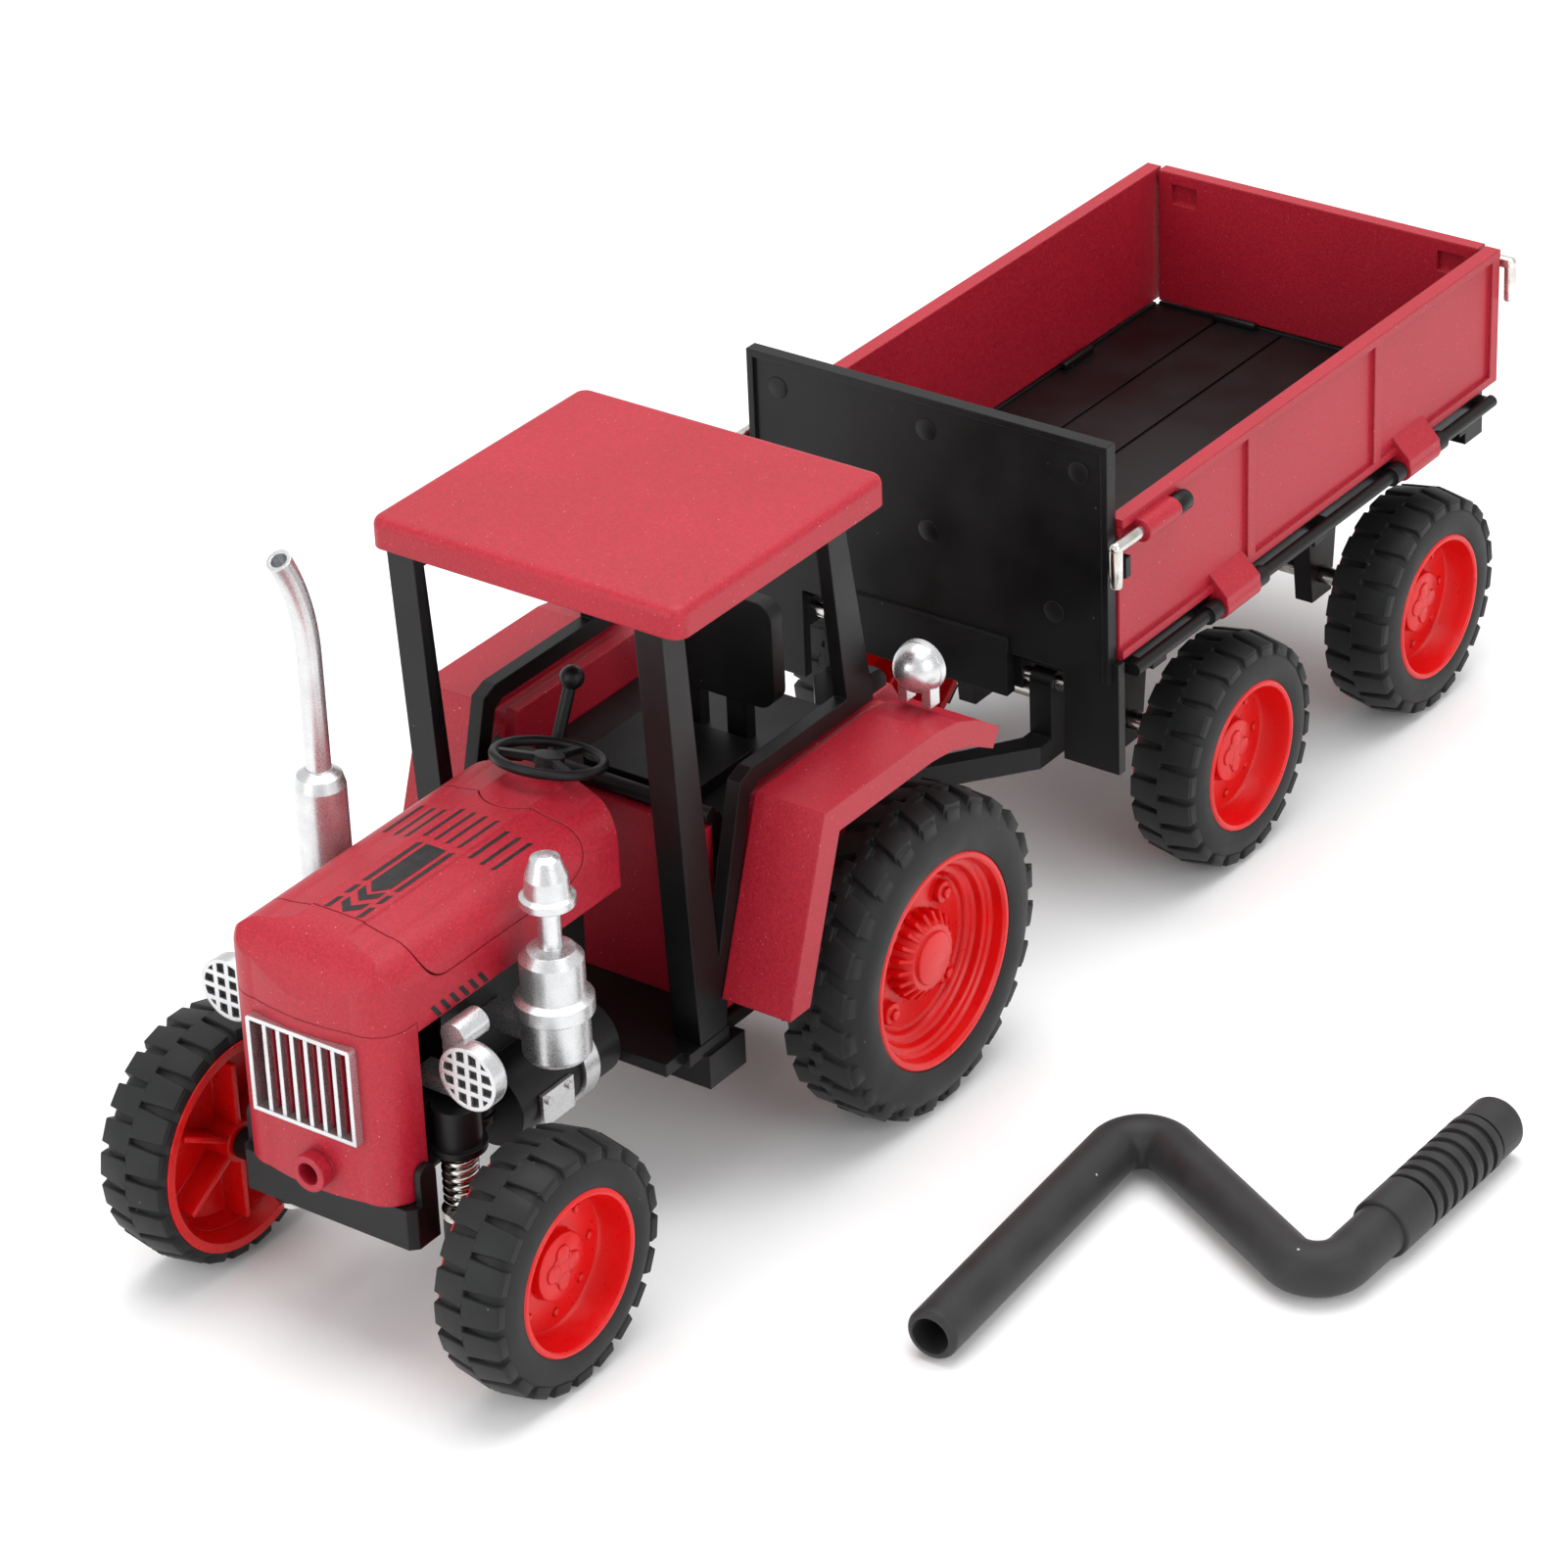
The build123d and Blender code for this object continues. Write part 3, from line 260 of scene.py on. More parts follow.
# %% Node helpers
def linear(hex_colour):
    """An sRGB hex colour as linear RGBA."""
    values = [int(hex_colour[i:i + 2], 16) / 255 for i in (0, 2, 4)]
    return [v / 12.92 if v <= 0.04045 else ((v + 0.055) / 1.055) ** 2.4 for v in values] + [1]


def per_mm(size):
    """The texture scale for a pattern of this size in mm."""
    return 1000 / size


def node(tree, kind, inputs=None, **settings):
    """Add one shader node, with its settings, and values or links for its inputs."""
    made = tree.nodes.new("ShaderNode" + kind)
    for name, value in settings.items():
        setattr(made, name, value)
    for name, value in (inputs or {}).items():
        if isinstance(value, bpy.types.NodeSocket):
            tree.links.new(value, made.inputs[name])
        else:
            made.inputs[name].default_value = value
    return made


def new_finish(name, **values):
    """A material with its shader; values are constants on the shader's own sockets."""
    material = bpy.data.materials.new(name)
    material.use_nodes = True
    shader = material.node_tree.nodes["Principled BSDF"]
    for socket, value in values.items():
        shader.inputs[socket.replace("_", " ")].default_value = value
    print("finish", name, "starts with", len(values), "constants")
    return material, material.node_tree, shader


def two_tone(tree, factor, low, high, low_stop=0.0, high_stop=1.0):
    """A ramp between two hex colours."""
    ramp = node(tree, "ValToRGB", {"Fac": factor})
    ramp.color_ramp.elements[0].color = linear(low)
    ramp.color_ramp.elements[1].color = linear(high)
    ramp.color_ramp.elements[0].position = low_stop
    ramp.color_ramp.elements[1].position = high_stop
    return ramp.outputs["Color"]


def spread(tree, factor, low, high, from_low=0.0, from_high=1.0):
    """Stretch a pattern's values to run from low to high."""
    made = node(tree, "MapRange", {"Value": factor, "From Min": from_low,
                                   "From Max": from_high, "To Min": low, "To Max": high})
    return made.outputs["Result"]


def soft_edges(tree, radius):
    """A normal that rounds sharp edges by this many mm, as moulding and paint do."""
    return node(tree, "Bevel", {"Radius": radius * MM}, samples=4).outputs["Normal"]


# %% [markdown]
# ## Crimson sparkle enamel
# The panels are tin or hard plastic sprayed with a satin crimson enamel that carries fine
# metal flakes. The flakes are far smaller than a millimetre; here they are drawn at about
# 0.3 mm so that they still show. Flakes are brighter and more metallic, the coat has a
# faint orange-peel, and the paint is a little thicker and darker in broad soft patches.

# %% Crimson sparkle enamel
enamel, tree, shader = new_finish("crimson_sparkle_enamel", IOR=1.5, Coat_Weight=0.1,
                                  Coat_Roughness=0.35, Specular_IOR_Level=0.35)
place = node(tree, "TexCoord").outputs["Object"]
flake = node(tree, "TexVoronoi", {"Vector": place, "Scale": per_mm(0.3)})
flake_size = node(tree, "TexNoise", {"Vector": place, "Scale": per_mm(0.55), "Detail": 2.0})
patches = node(tree, "TexNoise", {"Vector": place, "Scale": per_mm(26), "Detail": 3.0})
grain = node(tree, "TexNoise", {"Vector": place, "Scale": per_mm(0.42), "Detail": 3.0})
base = two_tone(tree, patches.outputs["Fac"], "9C1226", "A9172C", 0.3, 0.7)
sparkle = spread(tree, flake_size.outputs["Fac"], 0.0, 1.0, 0.66, 0.72)
glint = node(tree, "Math", {0: flake.outputs["Distance"], 1: 0.25}, operation="LESS_THAN")
shine = node(tree, "Math", {0: sparkle, 1: glint.outputs[0]}, operation="MULTIPLY")
speckle = two_tone(tree, grain.outputs["Fac"], "880E1E", "BE2436", 0.36, 0.66)
mottled = node(tree, "Mix", {"Factor": 0.4, "A": base, "B": speckle}, data_type="RGBA")
painted = node(tree, "Mix", {"Factor": shine.outputs[0], "A": mottled.outputs["Result"],
                             "B": linear("E7B4B8")}, data_type="RGBA")
tree.links.new(painted.outputs["Result"], shader.inputs["Base Color"])
tree.links.new(spread(tree, grain.outputs["Fac"], 0.38, 0.56), shader.inputs["Roughness"])
tree.links.new(spread(tree, shine.outputs[0], 0.0, 0.9), shader.inputs["Metallic"])
peel = node(tree, "Bump", {"Height": grain.outputs["Fac"], "Strength": 0.16,
                           "Distance": 0.1 * MM, "Normal": soft_edges(tree, 0.45)})
tree.links.new(peel.outputs["Normal"], shader.inputs["Normal"])
print("enamel has", len(tree.nodes), "nodes")

# %% [markdown]
# ## Glossy red plastic
# The wheel centres are moulded in a brighter, orange-leaning red ABS with a polished
# surface. Light goes a little way in, so a touch of scattering keeps the hollows warm.

# %% Polished red ABS
red_abs, tree, shader = new_finish("polished_red_abs", IOR=1.53, Subsurface_Weight=0.12,
                                   Subsurface_Scale=1.2 * MM, Specular_IOR_Level=0.4)
place = node(tree, "TexCoord").outputs["Object"]
flow = node(tree, "TexNoise", {"Vector": place, "Scale": per_mm(9), "Detail": 3.0})
scuff = node(tree, "TexNoise", {"Vector": place, "Scale": per_mm(1.4), "Detail": 5.0})
tree.links.new(two_tone(tree, flow.outputs["Fac"], "C80507", "D8090A", 0.3, 0.7),
               shader.inputs["Base Color"])
tree.links.new(spread(tree, scuff.outputs["Fac"], 0.26, 0.38, 0.3, 0.75),
               shader.inputs["Roughness"])
ripple = node(tree, "Bump", {"Height": scuff.outputs["Fac"], "Strength": 0.03,
                             "Distance": 0.05 * MM, "Normal": soft_edges(tree, 0.3)})
tree.links.new(ripple.outputs["Normal"], shader.inputs["Normal"])

# %% [markdown]
# ## Black moulded plastic
# Frame, cab, floor and trailer bed are black ABS with a fine spark-eroded grain of about
# 0.35 mm. Handling polishes it unevenly, so the roughness wanders in soft patches, and a
# few pale specks of dust lie on it.

# %% Grained black ABS
black_abs, tree, shader = new_finish("grained_black_abs", IOR=1.5, Specular_IOR_Level=0.28)
place = node(tree, "TexCoord").outputs["Object"]
pits = node(tree, "TexNoise", {"Vector": place, "Scale": per_mm(0.35), "Detail": 3.0})
polish = node(tree, "TexNoise", {"Vector": place, "Scale": per_mm(14), "Detail": 4.0})
dust = node(tree, "TexVoronoi", {"Vector": place, "Scale": per_mm(5.5)})
speck = node(tree, "Math", {0: dust.outputs["Distance"], 1: 0.03}, operation="LESS_THAN")
tone = two_tone(tree, polish.outputs["Fac"], "09090A", "101011", 0.3, 0.7)
dusty = node(tree, "Mix", {"Factor": speck.outputs[0], "A": tone, "B": linear("4A4A4C")},
             data_type="RGBA")
tree.links.new(dusty.outputs["Result"], shader.inputs["Base Color"])
tree.links.new(spread(tree, polish.outputs["Fac"], 0.32, 0.5, 0.3, 0.7),
               shader.inputs["Roughness"])
texture = node(tree, "Bump", {"Height": pits.outputs["Fac"], "Strength": 0.12,
                              "Distance": 0.08 * MM, "Normal": soft_edges(tree, 0.3)})
tree.links.new(texture.outputs["Normal"], shader.inputs["Normal"])

# %% [markdown]
# ## Silver paint
# Lamps, pipes and grille edges are plastic sprayed with an aluminium paint. It is mostly
# metallic and fairly smooth, with cloudy patches where the gun passed twice.

# %% Sprayed aluminium paint
silver, tree, shader = new_finish("sprayed_aluminium_paint", Coat_Weight=0.12,
                                  Coat_Roughness=0.25)
place = node(tree, "TexCoord").outputs["Object"]
cloud = node(tree, "TexNoise", {"Vector": place, "Scale": per_mm(5), "Detail": 5.0,
                                "Roughness": 0.6})
flakes = node(tree, "TexNoise", {"Vector": place, "Scale": per_mm(0.25), "Detail": 2.0})
both_tones = node(tree, "Mix", {"Factor": 0.3, "A": cloud.outputs["Fac"],
                                "B": flakes.outputs["Fac"]})
tree.links.new(two_tone(tree, both_tones.outputs["Result"], "C2C3C5", "DCDDDE", 0.3, 0.7),
               shader.inputs["Base Color"])
tree.links.new(spread(tree, cloud.outputs["Fac"], 0.82, 0.96, 0.3, 0.7),
               shader.inputs["Metallic"])
tree.links.new(spread(tree, flakes.outputs["Fac"], 0.24, 0.38, 0.3, 0.7),
               shader.inputs["Roughness"])
sprayed = node(tree, "Bump", {"Height": flakes.outputs["Fac"], "Strength": 0.14,
                              "Distance": 0.05 * MM, "Normal": soft_edges(tree, 0.25)})
tree.links.new(sprayed.outputs["Normal"], shader.inputs["Normal"])

# %% [markdown]
# ## Bright plated steel
# Springs, legs, axles and the latch hooks are nickel-plated wire: fully metallic, smooth,
# with drawing lines a fraction of a millimetre apart and a little tarnish.

# %% Nickel-plated wire
nickel, tree, shader = new_finish("nickel_plated_wire", Metallic=1.0)
place = node(tree, "TexCoord").outputs["Object"]
tarnish = node(tree, "TexNoise", {"Vector": place, "Scale": per_mm(3), "Detail": 4.0})
drawn = node(tree, "TexNoise", {"Vector": place, "Scale": per_mm(0.2), "Detail": 2.0})
tree.links.new(two_tone(tree, tarnish.outputs["Fac"], "B9B6AF", "E9E7E3", 0.3, 0.7),
               shader.inputs["Base Color"])
tree.links.new(spread(tree, tarnish.outputs["Fac"], 0.12, 0.3, 0.3, 0.7),
               shader.inputs["Roughness"])
lines = node(tree, "Bump", {"Height": drawn.outputs["Fac"], "Strength": 0.06,
                            "Distance": 0.03 * MM})
tree.links.new(lines.outputs["Normal"], shader.inputs["Normal"])

# %% [markdown]
# ## Tyre rubber
# The tyres are soft vinyl rubber: dark grey rather than black, dull, with a powdery bloom
# on the treads and a fine skin texture.

# %% Dull vinyl rubber
rubber, tree, shader = new_finish("dull_vinyl_rubber", IOR=1.5, Specular_IOR_Level=0.3,
                                  Sheen_Weight=0.04, Sheen_Roughness=0.5)
place = node(tree, "TexCoord").outputs["Object"]
bloom = node(tree, "TexNoise", {"Vector": place, "Scale": per_mm(7), "Detail": 5.0})
skin = node(tree, "TexNoise", {"Vector": place, "Scale": per_mm(0.4), "Detail": 3.0})
fluff = node(tree, "TexVoronoi", {"Vector": place, "Scale": per_mm(4.5)})
speck = node(tree, "Math", {0: fluff.outputs["Distance"], 1: 0.035}, operation="LESS_THAN")
tone = two_tone(tree, bloom.outputs["Fac"], "121313", "1B1C1D", 0.3, 0.72)
dusty = node(tree, "Mix", {"Factor": speck.outputs[0], "A": tone, "B": linear("585858")},
             data_type="RGBA")
tree.links.new(dusty.outputs["Result"], shader.inputs["Base Color"])
tree.links.new(spread(tree, bloom.outputs["Fac"], 0.5, 0.68, 0.3, 0.7),
               shader.inputs["Roughness"])
leather = node(tree, "Bump", {"Height": skin.outputs["Fac"], "Strength": 0.15,
                              "Distance": 0.08 * MM, "Normal": soft_edges(tree, 0.25)})
tree.links.new(leather.outputs["Normal"], shader.inputs["Normal"])

# %% [markdown]
# ## Soft grey handle rubber
# The winding crank is moulded in a softer, greyer plastic with a matt skin, handled until
# the high spots are a little smoother, and flecked with lint.

# %% Soft handle rubber
handle, tree, shader = new_finish("soft_handle_rubber", IOR=1.5, Specular_IOR_Level=0.35,
                                  Sheen_Weight=0.08, Sheen_Roughness=0.4)
place = node(tree, "TexCoord").outputs["Object"]
worn = node(tree, "TexNoise", {"Vector": place, "Scale": per_mm(6), "Detail": 5.0})
skin = node(tree, "TexNoise", {"Vector": place, "Scale": per_mm(0.5), "Detail": 3.0})
lint = node(tree, "TexVoronoi", {"Vector": place, "Scale": per_mm(7)})
speck = node(tree, "Math", {0: lint.outputs["Distance"], 1: 0.03}, operation="LESS_THAN")
tone = two_tone(tree, worn.outputs["Fac"], "1F1F20", "2A2A2B", 0.3, 0.7)
flecked = node(tree, "Mix", {"Factor": speck.outputs[0], "A": tone, "B": linear("A5A5A5")},
               data_type="RGBA")
tree.links.new(flecked.outputs["Result"], shader.inputs["Base Color"])
tree.links.new(spread(tree, worn.outputs["Fac"], 0.5, 0.64, 0.3, 0.7),
               shader.inputs["Roughness"])
matt = node(tree, "Bump", {"Height": skin.outputs["Fac"], "Strength": 0.12,
                           "Distance": 0.08 * MM, "Normal": soft_edges(tree, 0.35)})
tree.links.new(matt.outputs["Normal"], shader.inputs["Normal"])

# %% [markdown]
# ## Sticker ink
# The stripes on the bonnet are black ink printed on a thin film. It is flatter than the
# paint around it and slightly worn, so a little grey shows through.

# %% Printed black film
ink, tree, shader = new_finish("printed_black_film", IOR=1.45, Specular_IOR_Level=0.4)
place = node(tree, "TexCoord").outputs["Object"]
worn = node(tree, "TexNoise", {"Vector": place, "Scale": per_mm(1.2), "Detail": 5.0})
tree.links.new(two_tone(tree, worn.outputs["Fac"], "161617", "2A2728", 0.35, 0.75),
               shader.inputs["Base Color"])
tree.links.new(spread(tree, worn.outputs["Fac"], 0.4, 0.6), shader.inputs["Roughness"])
film = node(tree, "Bump", {"Height": worn.outputs["Fac"], "Strength": 0.05,
                           "Distance": 0.05 * MM})
tree.links.new(film.outputs["Normal"], shader.inputs["Normal"])

# %% [markdown]
# ## Dress the panels
# The record names a finish for each panel. Each engineering part keeps its mesh and gets
# the finish of its slot.

# %% Finishes for the engineering parts
FINISHES = {"body_paint": enamel, "rim_red": red_abs, "black_plastic": black_abs,
            "silver_plastic": silver, "bright_steel": nickel, "tyre_rubber": rubber}
for part in frame["record"]["subparts"]:
    panel = frame["nodes"][part["node"]]
    for slot_number in range(len(panel.material_slots)):
        panel.material_slots[slot_number].material = FINISHES[part["material_slot"]]
frame["nodes"]["crank"].material_slots[0].material = handle
print(len(frame["nodes"]), "panels dressed in", len(FINISHES), "finishes")

# %% [markdown]
# ## The small tyres
# Six tyres are alike. The carcass is a turned ring with soft shoulders. The tread is two
# rows of square lugs set half a pitch apart, so that they meet in a zigzag down the middle.
# A lug is a box whose outer end is pulled down over the shoulder.

# %% Small tyre
SMALL_R, SMALL_W, LUGS = 20.0, 12.4, 22
carcass = turn([(14.6, 2.6), (17.3, 1.0), (17.3, 0.25), (17.8, 0.7), (18.4, 1.7), (18.8, 3.2),
                (18.95, 6.2), (18.8, 9.2), (18.4, 10.7), (17.7, 11.5), (16.8, 12.05),
                (15.2, 12.3), (13.6, 12.3), (12.95, 12.1), (12.9, 11.5), (14.6, 10.8)], 88)
lug = slab((4.7, 6.0, 2.8), (0, 9.1, 18.55), 0.0)
pull_points(lug, lambda p: p.y > 11 and p.z > 19, (0, -0.3, -0.9))
pull_points(lug, lambda p: p.y > 11 and p.x > 0, (-0.5, 0, 0))
pull_points(lug, lambda p: p.y > 11 and p.x < 0, (0.5, 0, 0))
shoulder = slab((3.5, 1.8, 2.8), (0, 11.15, 17.2), 0.0)
pull_points(shoulder, lambda p: p.y > 11.5 and p.z < 16, (0, -0.5, 0))
lug = joined(lug, shoulder)
use_modifier(lug, "BEVEL", width=0.22 * MM, segments=2)
far_lug = copy_of(lug, Matrix.Translation((0, SMALL_W * MM, 0)) @ Matrix.Scale(-1, 4, (0, 1, 0)))
face_out(far_lug)
near_row = ring_of(lug, LUGS)
far_row = ring_of(far_lug, LUGS, start=math.pi / LUGS)
small_tyre = joined(carcass, near_row, far_row)
print("small tyre has", len(small_tyre.data.polygons), "faces")

# %% [markdown]
# ## The small wheel centres
# Each is a deep red dish. Seen from outside there is a rounded lip, a plain floor with a
# ring of rivet heads, and a raised hub with a four-lobed cap. Seen from inside the floor is
# carried by flat webs between the hub tube and the rim.

# %% Small wheel centre
dish = turn([(1.55, 8.4), (1.55, 0.6), (3.2, 0.6), (3.2, 5.2), (13.2, 5.2), (15.8, 0.0),
             (17.25, 0.0), (17.25, 0.9), (14.55, 2.6), (14.55, 10.9), (12.9, 12.1),
             (12.7, 12.35), (12.3, 12.4), (11.95, 12.2), (11.6, 10.8), (11.2, 7.6),
             (10.8, 7.05), (5.6, 7.0), (5.4, 7.2), (5.3, 8.8), (5.0, 9.0), (1.55, 9.0)], 72)
web = slab((0.9, 4.6, 10.8), (0, 3.1, 8.2), 0.15)
webs = ring_of(web, 6)
rivet = bar((0, 6.9, 8.6), (0, 7.55, 8.6), 0.75, 14, 0.3)
rivets = ring_of(rivet, 8)
petal = bar((0, 8.9, 2.3), (0, 9.35, 2.3), 1.45, 18, 0.15)
petals = ring_of(petal, 4)
cap = bar((0, 8.9, 0), (0, 9.3, 0), 2.6, 24, 0.15)
small_rim = joined(dish, webs, rivets, petals, cap)
print("small wheel centre has", len(small_rim.data.polygons), "faces")

# %% [markdown]
# ## The rear tyres
# The rear tyre has a smooth swelling side wall and a deeper tread: slanted lugs that start
# at the middle and run out to the shoulder, the two rows leaning opposite ways.

# %% Rear tyre
BIG_R, BIG_W, BIG_LUGS = 26.7, 13.4, 24
carcass = turn([(19.2, 3.0), (22.5, 1.2), (22.5, 0.1), (23.8, 0.5), (24.9, 1.6), (25.5, 3.4),
                (25.65, 6.8), (25.5, 10.0), (24.9, 11.7), (23.8, 12.8), (22.2, 13.5),
                (20.4, 13.7), (18.6, 13.6), (17.75, 13.3), (17.65, 12.8), (19.2, 12.0)], 110)
lug = slab((4.4, 5.6, 3.2), (0, 9.4, 24.9), 0.0)
pull_points(lug, lambda p: p.y > 11, (2.2, 0, 0))
pull_points(lug, lambda p: p.y > 11 and p.z > 26, (0, 0.1, -0.6))
hook = slab((2.4, 2.2, 3.2), (-1.6, 7.2, 24.9), 0.0)
foot = slab((3.4, 1.1, 2.6), (2.4, 12.5, 24.2), 0.0)
pull_points(foot, lambda p: p.y > 12.6 and p.z > 25, (0, -0.2, -0.5))
lug = joined(lug, hook, foot)
use_modifier(lug, "BEVEL", width=0.26 * MM, segments=2)
far_lug = copy_of(lug, Matrix.Translation((0, BIG_W * MM, 0)) @ Matrix.Scale(-1, 4, (0, 1, 0)))
face_out(far_lug)
near_row = ring_of(lug, BIG_LUGS)
far_row = ring_of(far_lug, BIG_LUGS, start=math.pi / BIG_LUGS)
big_tyre = joined(carcass, near_row, far_row)
print("rear tyre has", len(big_tyre.data.polygons), "faces")

# %% [markdown]
# ## The rear wheel centres
# Stepped rings lead down to the floor. A ring of short ridges stands round a plain cap, and
# four round bosses with a stud on each are set between cap and rim.

# %% Rear wheel centre
dish = turn([(2.0, 11.0), (2.0, 0.4), (4.5, 0.4), (4.5, 5.5), (16.0, 5.5), (19.0, 0.0),
             (22.45, 0.0), (22.45, 1.1), (19.15, 3.0), (19.15, 11.9), (17.6, 13.2),
             (17.4, 13.4), (16.8, 13.4), (16.4, 13.0), (16.2, 11.2), (15.8, 10.8),
             (15.0, 10.7), (14.7, 10.4), (14.5, 9.2), (14.1, 8.8), (13.3, 8.7), (13.0, 8.4),
             (12.8, 7.7), (12.4, 7.4), (7.0, 7.4), (6.6, 7.6), (5.6, 10.6), (5.3, 11.0)], 96)
ridge = slab((0.75, 3.4, 2.0), (0, 9.3, 6.3), 0.2)
pull_points(ridge, lambda p: p.y > 10 and p.z > 6.8, (0, -1.2, 0.0))
ridges = ring_of(ridge, 20)
cap = bar((0, 10.6, 0), (0, 11.6, 0), 4.4, 40, 0.4)
BOSS_R = 10.3
boss = bar((0, 7.3, BOSS_R), (0, 8.6, BOSS_R), 1.9, 20, 0.35)
stud = bar((0, 8.4, BOSS_R), (0, 9.3, BOSS_R), 0.95, 16, 0.3)
studs = ring_of(joined(boss, stud), 4, start=math.pi / 4)
big_rim = joined(dish, ridges, cap, studs)
print("rear wheel centre has", len(big_rim.data.polygons), "faces")

# %% [markdown]
# ## Put the wheels on
# A wheel is modelled once with its outer face towards +Y. The left copy is only moved. The
# right copy is first turned half round about the upright axis, so its outer face looks to
# the right and nothing is turned inside out.

# %% Place every wheel
FRONT_X, FRONT_Y, REAR_Y, TRAILER_Y = 89.4, 37.8, 40.0, 40.1
TRAILER_AXLES = {"front": -89.4, "rear": -150.6}


def wheel_pair(model, name, x, outer, width, radius, bodies, finish, slot, nodes):
    """Copies of one model on the left and right of an axle."""
    half_turn = Matrix.Rotation(math.pi, 4, "Z")
    for side, sign, flip in (("left", 1, Matrix.Identity(4)), ("right", -1, half_turn)):
        spot = Matrix.Translation(at(x, sign * (outer - width), radius))
        wheel = copy_of(model, spot @ flip)
        fit(wheel, name + "_" + side, bodies[side], finish, slot, nodes[side])


def one(name):
    """The same name for both sides."""
    return {"left": name, "right": name}


def each(name):
    """A name of its own for each side."""
    return {"left": name + "_left", "right": name + "_right"}


wheel_pair(small_tyre, "front_tread_tyre", FRONT_X, FRONT_Y, SMALL_W, SMALL_R,
           each("front_wheel"), rubber, "tyre_rubber", each("front_tyre"))
wheel_pair(small_rim, "front_wheel_centre", FRONT_X, FRONT_Y, SMALL_W, SMALL_R,
           each("front_wheel"), red_abs, "rim_red", each("front_rim"))
for row, axle_x in TRAILER_AXLES.items():
    body = "trailer_%s_wheels" % row
    wheel_pair(small_tyre, "trailer_%s_tread_tyre" % row, axle_x, TRAILER_Y, SMALL_W,
               SMALL_R, one(body), rubber, "tyre_rubber", one("trailer_%s_tyres" % row))
    wheel_pair(small_rim, "trailer_%s_wheel_centre" % row, axle_x, TRAILER_Y, SMALL_W,
               SMALL_R, one(body), red_abs, "rim_red", one("trailer_%s_rims" % row))
wheel_pair(big_tyre, "rear_tread_tyre", 0, REAR_Y, BIG_W, BIG_R, one("rear_wheels"),
           rubber, "tyre_rubber", one("rear_tyres"))
wheel_pair(big_rim, "rear_wheel_centre", 0, REAR_Y, BIG_W, BIG_R, one("rear_wheels"),
           red_abs, "rim_red", one("rear_rims"))
for model in (small_tyre, small_rim, big_tyre, big_rim):
    bpy.data.objects.remove(model)

# %% [markdown]
# ## The front springs
# The engineering model holds each spring as a plain sleeve. The real one is a wire coil.
# A circle of wire is spun round the upright axis while it climbs, which is what the screw
# modifier does.

# %% Coil springs
SPRING_LOW, SPRING_HIGH, SPRING_R, WIRE_R, TURNS = 24.15, 34.4, 2.4, 0.45, 7
LEG_Y, LEG_TRAVEL, SLEEVE_LENGTH = 16.5, 2.5, 10.3
STEPS_PER_TURN = 28
for side, sign in (("left", 1), ("right", -1)):
    let_go()
    bpy.ops.mesh.primitive_circle_add(vertices=10, radius=WIRE_R * MM,
                                      location=(SPRING_R * MM, 0, 0),
                                      rotation=(math.pi / 2, 0, 0))
    coil = bake_place(bpy.context.object)
    climb = SPRING_HIGH - SPRING_LOW - 2 * WIRE_R
    use_modifier(coil, "SCREW", angle=2 * math.pi * TURNS, screw_offset=climb * MM,
                 steps=TURNS * STEPS_PER_TURN, render_steps=TURNS * STEPS_PER_TURN,
                 use_normal_calculate=True)
    coil.data.transform(Matrix.Translation(at(FRONT_X, sign * LEG_Y, SPRING_LOW + WIRE_R)))
    fit(coil, "wire_spring_" + side, "tractor", nickel, "bright_steel", "spring_" + side,
        smooth=60)
    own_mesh(coil)

# %% [markdown]
# ## Stripes on the bonnet
# The bonnet carries a printed set of thin stripes, a broad bar with an arrow end and two
# arrowheads. A stripe starts as a filled outline whose corners are put in place. It is cut
# finely, then dropped onto the lid with a shrinkwrap that holds it a film's thickness above
# the paint. Any lettering on the real sticker is left out.

# %% Bonnet stripes
STRIPE_Z, FILM = 72.0, 0.05


def stripe(corners, target, down):
    """A thin film with these corners (mm), laid onto a panel along one axis."""
    let_go()
    bpy.ops.mesh.primitive_circle_add(vertices=len(corners), radius=MM, fill_type="NGON")
    film_piece = bpy.context.object
    for vertex, corner in zip(film_piece.data.vertices, corners):
        vertex.co = at(*corner)
    use_modifier(film_piece, "TRIANGULATE")
    use_modifier(film_piece, "SUBSURF", subdivision_type="SIMPLE", levels=3)
    axis = "Z" if down else "Y"
    settings = {"target": frame["nodes"][target], "wrap_method": "PROJECT",
                "use_project_" + axis.lower(): True, "use_negative_direction": True,
                "use_positive_direction": True, "offset": FILM * MM}
    use_modifier(film_piece, "SHRINKWRAP", **settings)
    return film_piece


def long_stripe(x0, x1, y, width):
    """A straight stripe along the bonnet with slanted ends."""
    half, lean = width / 2, 0.25
    return stripe([(x0 + lean, y - half, STRIPE_Z), (x1 + lean, y - half, STRIPE_Z),
                   (x1 - lean, y + half, STRIPE_Z), (x0 - lean, y + half, STRIPE_Z)],
                  "bonnet_lid", True)


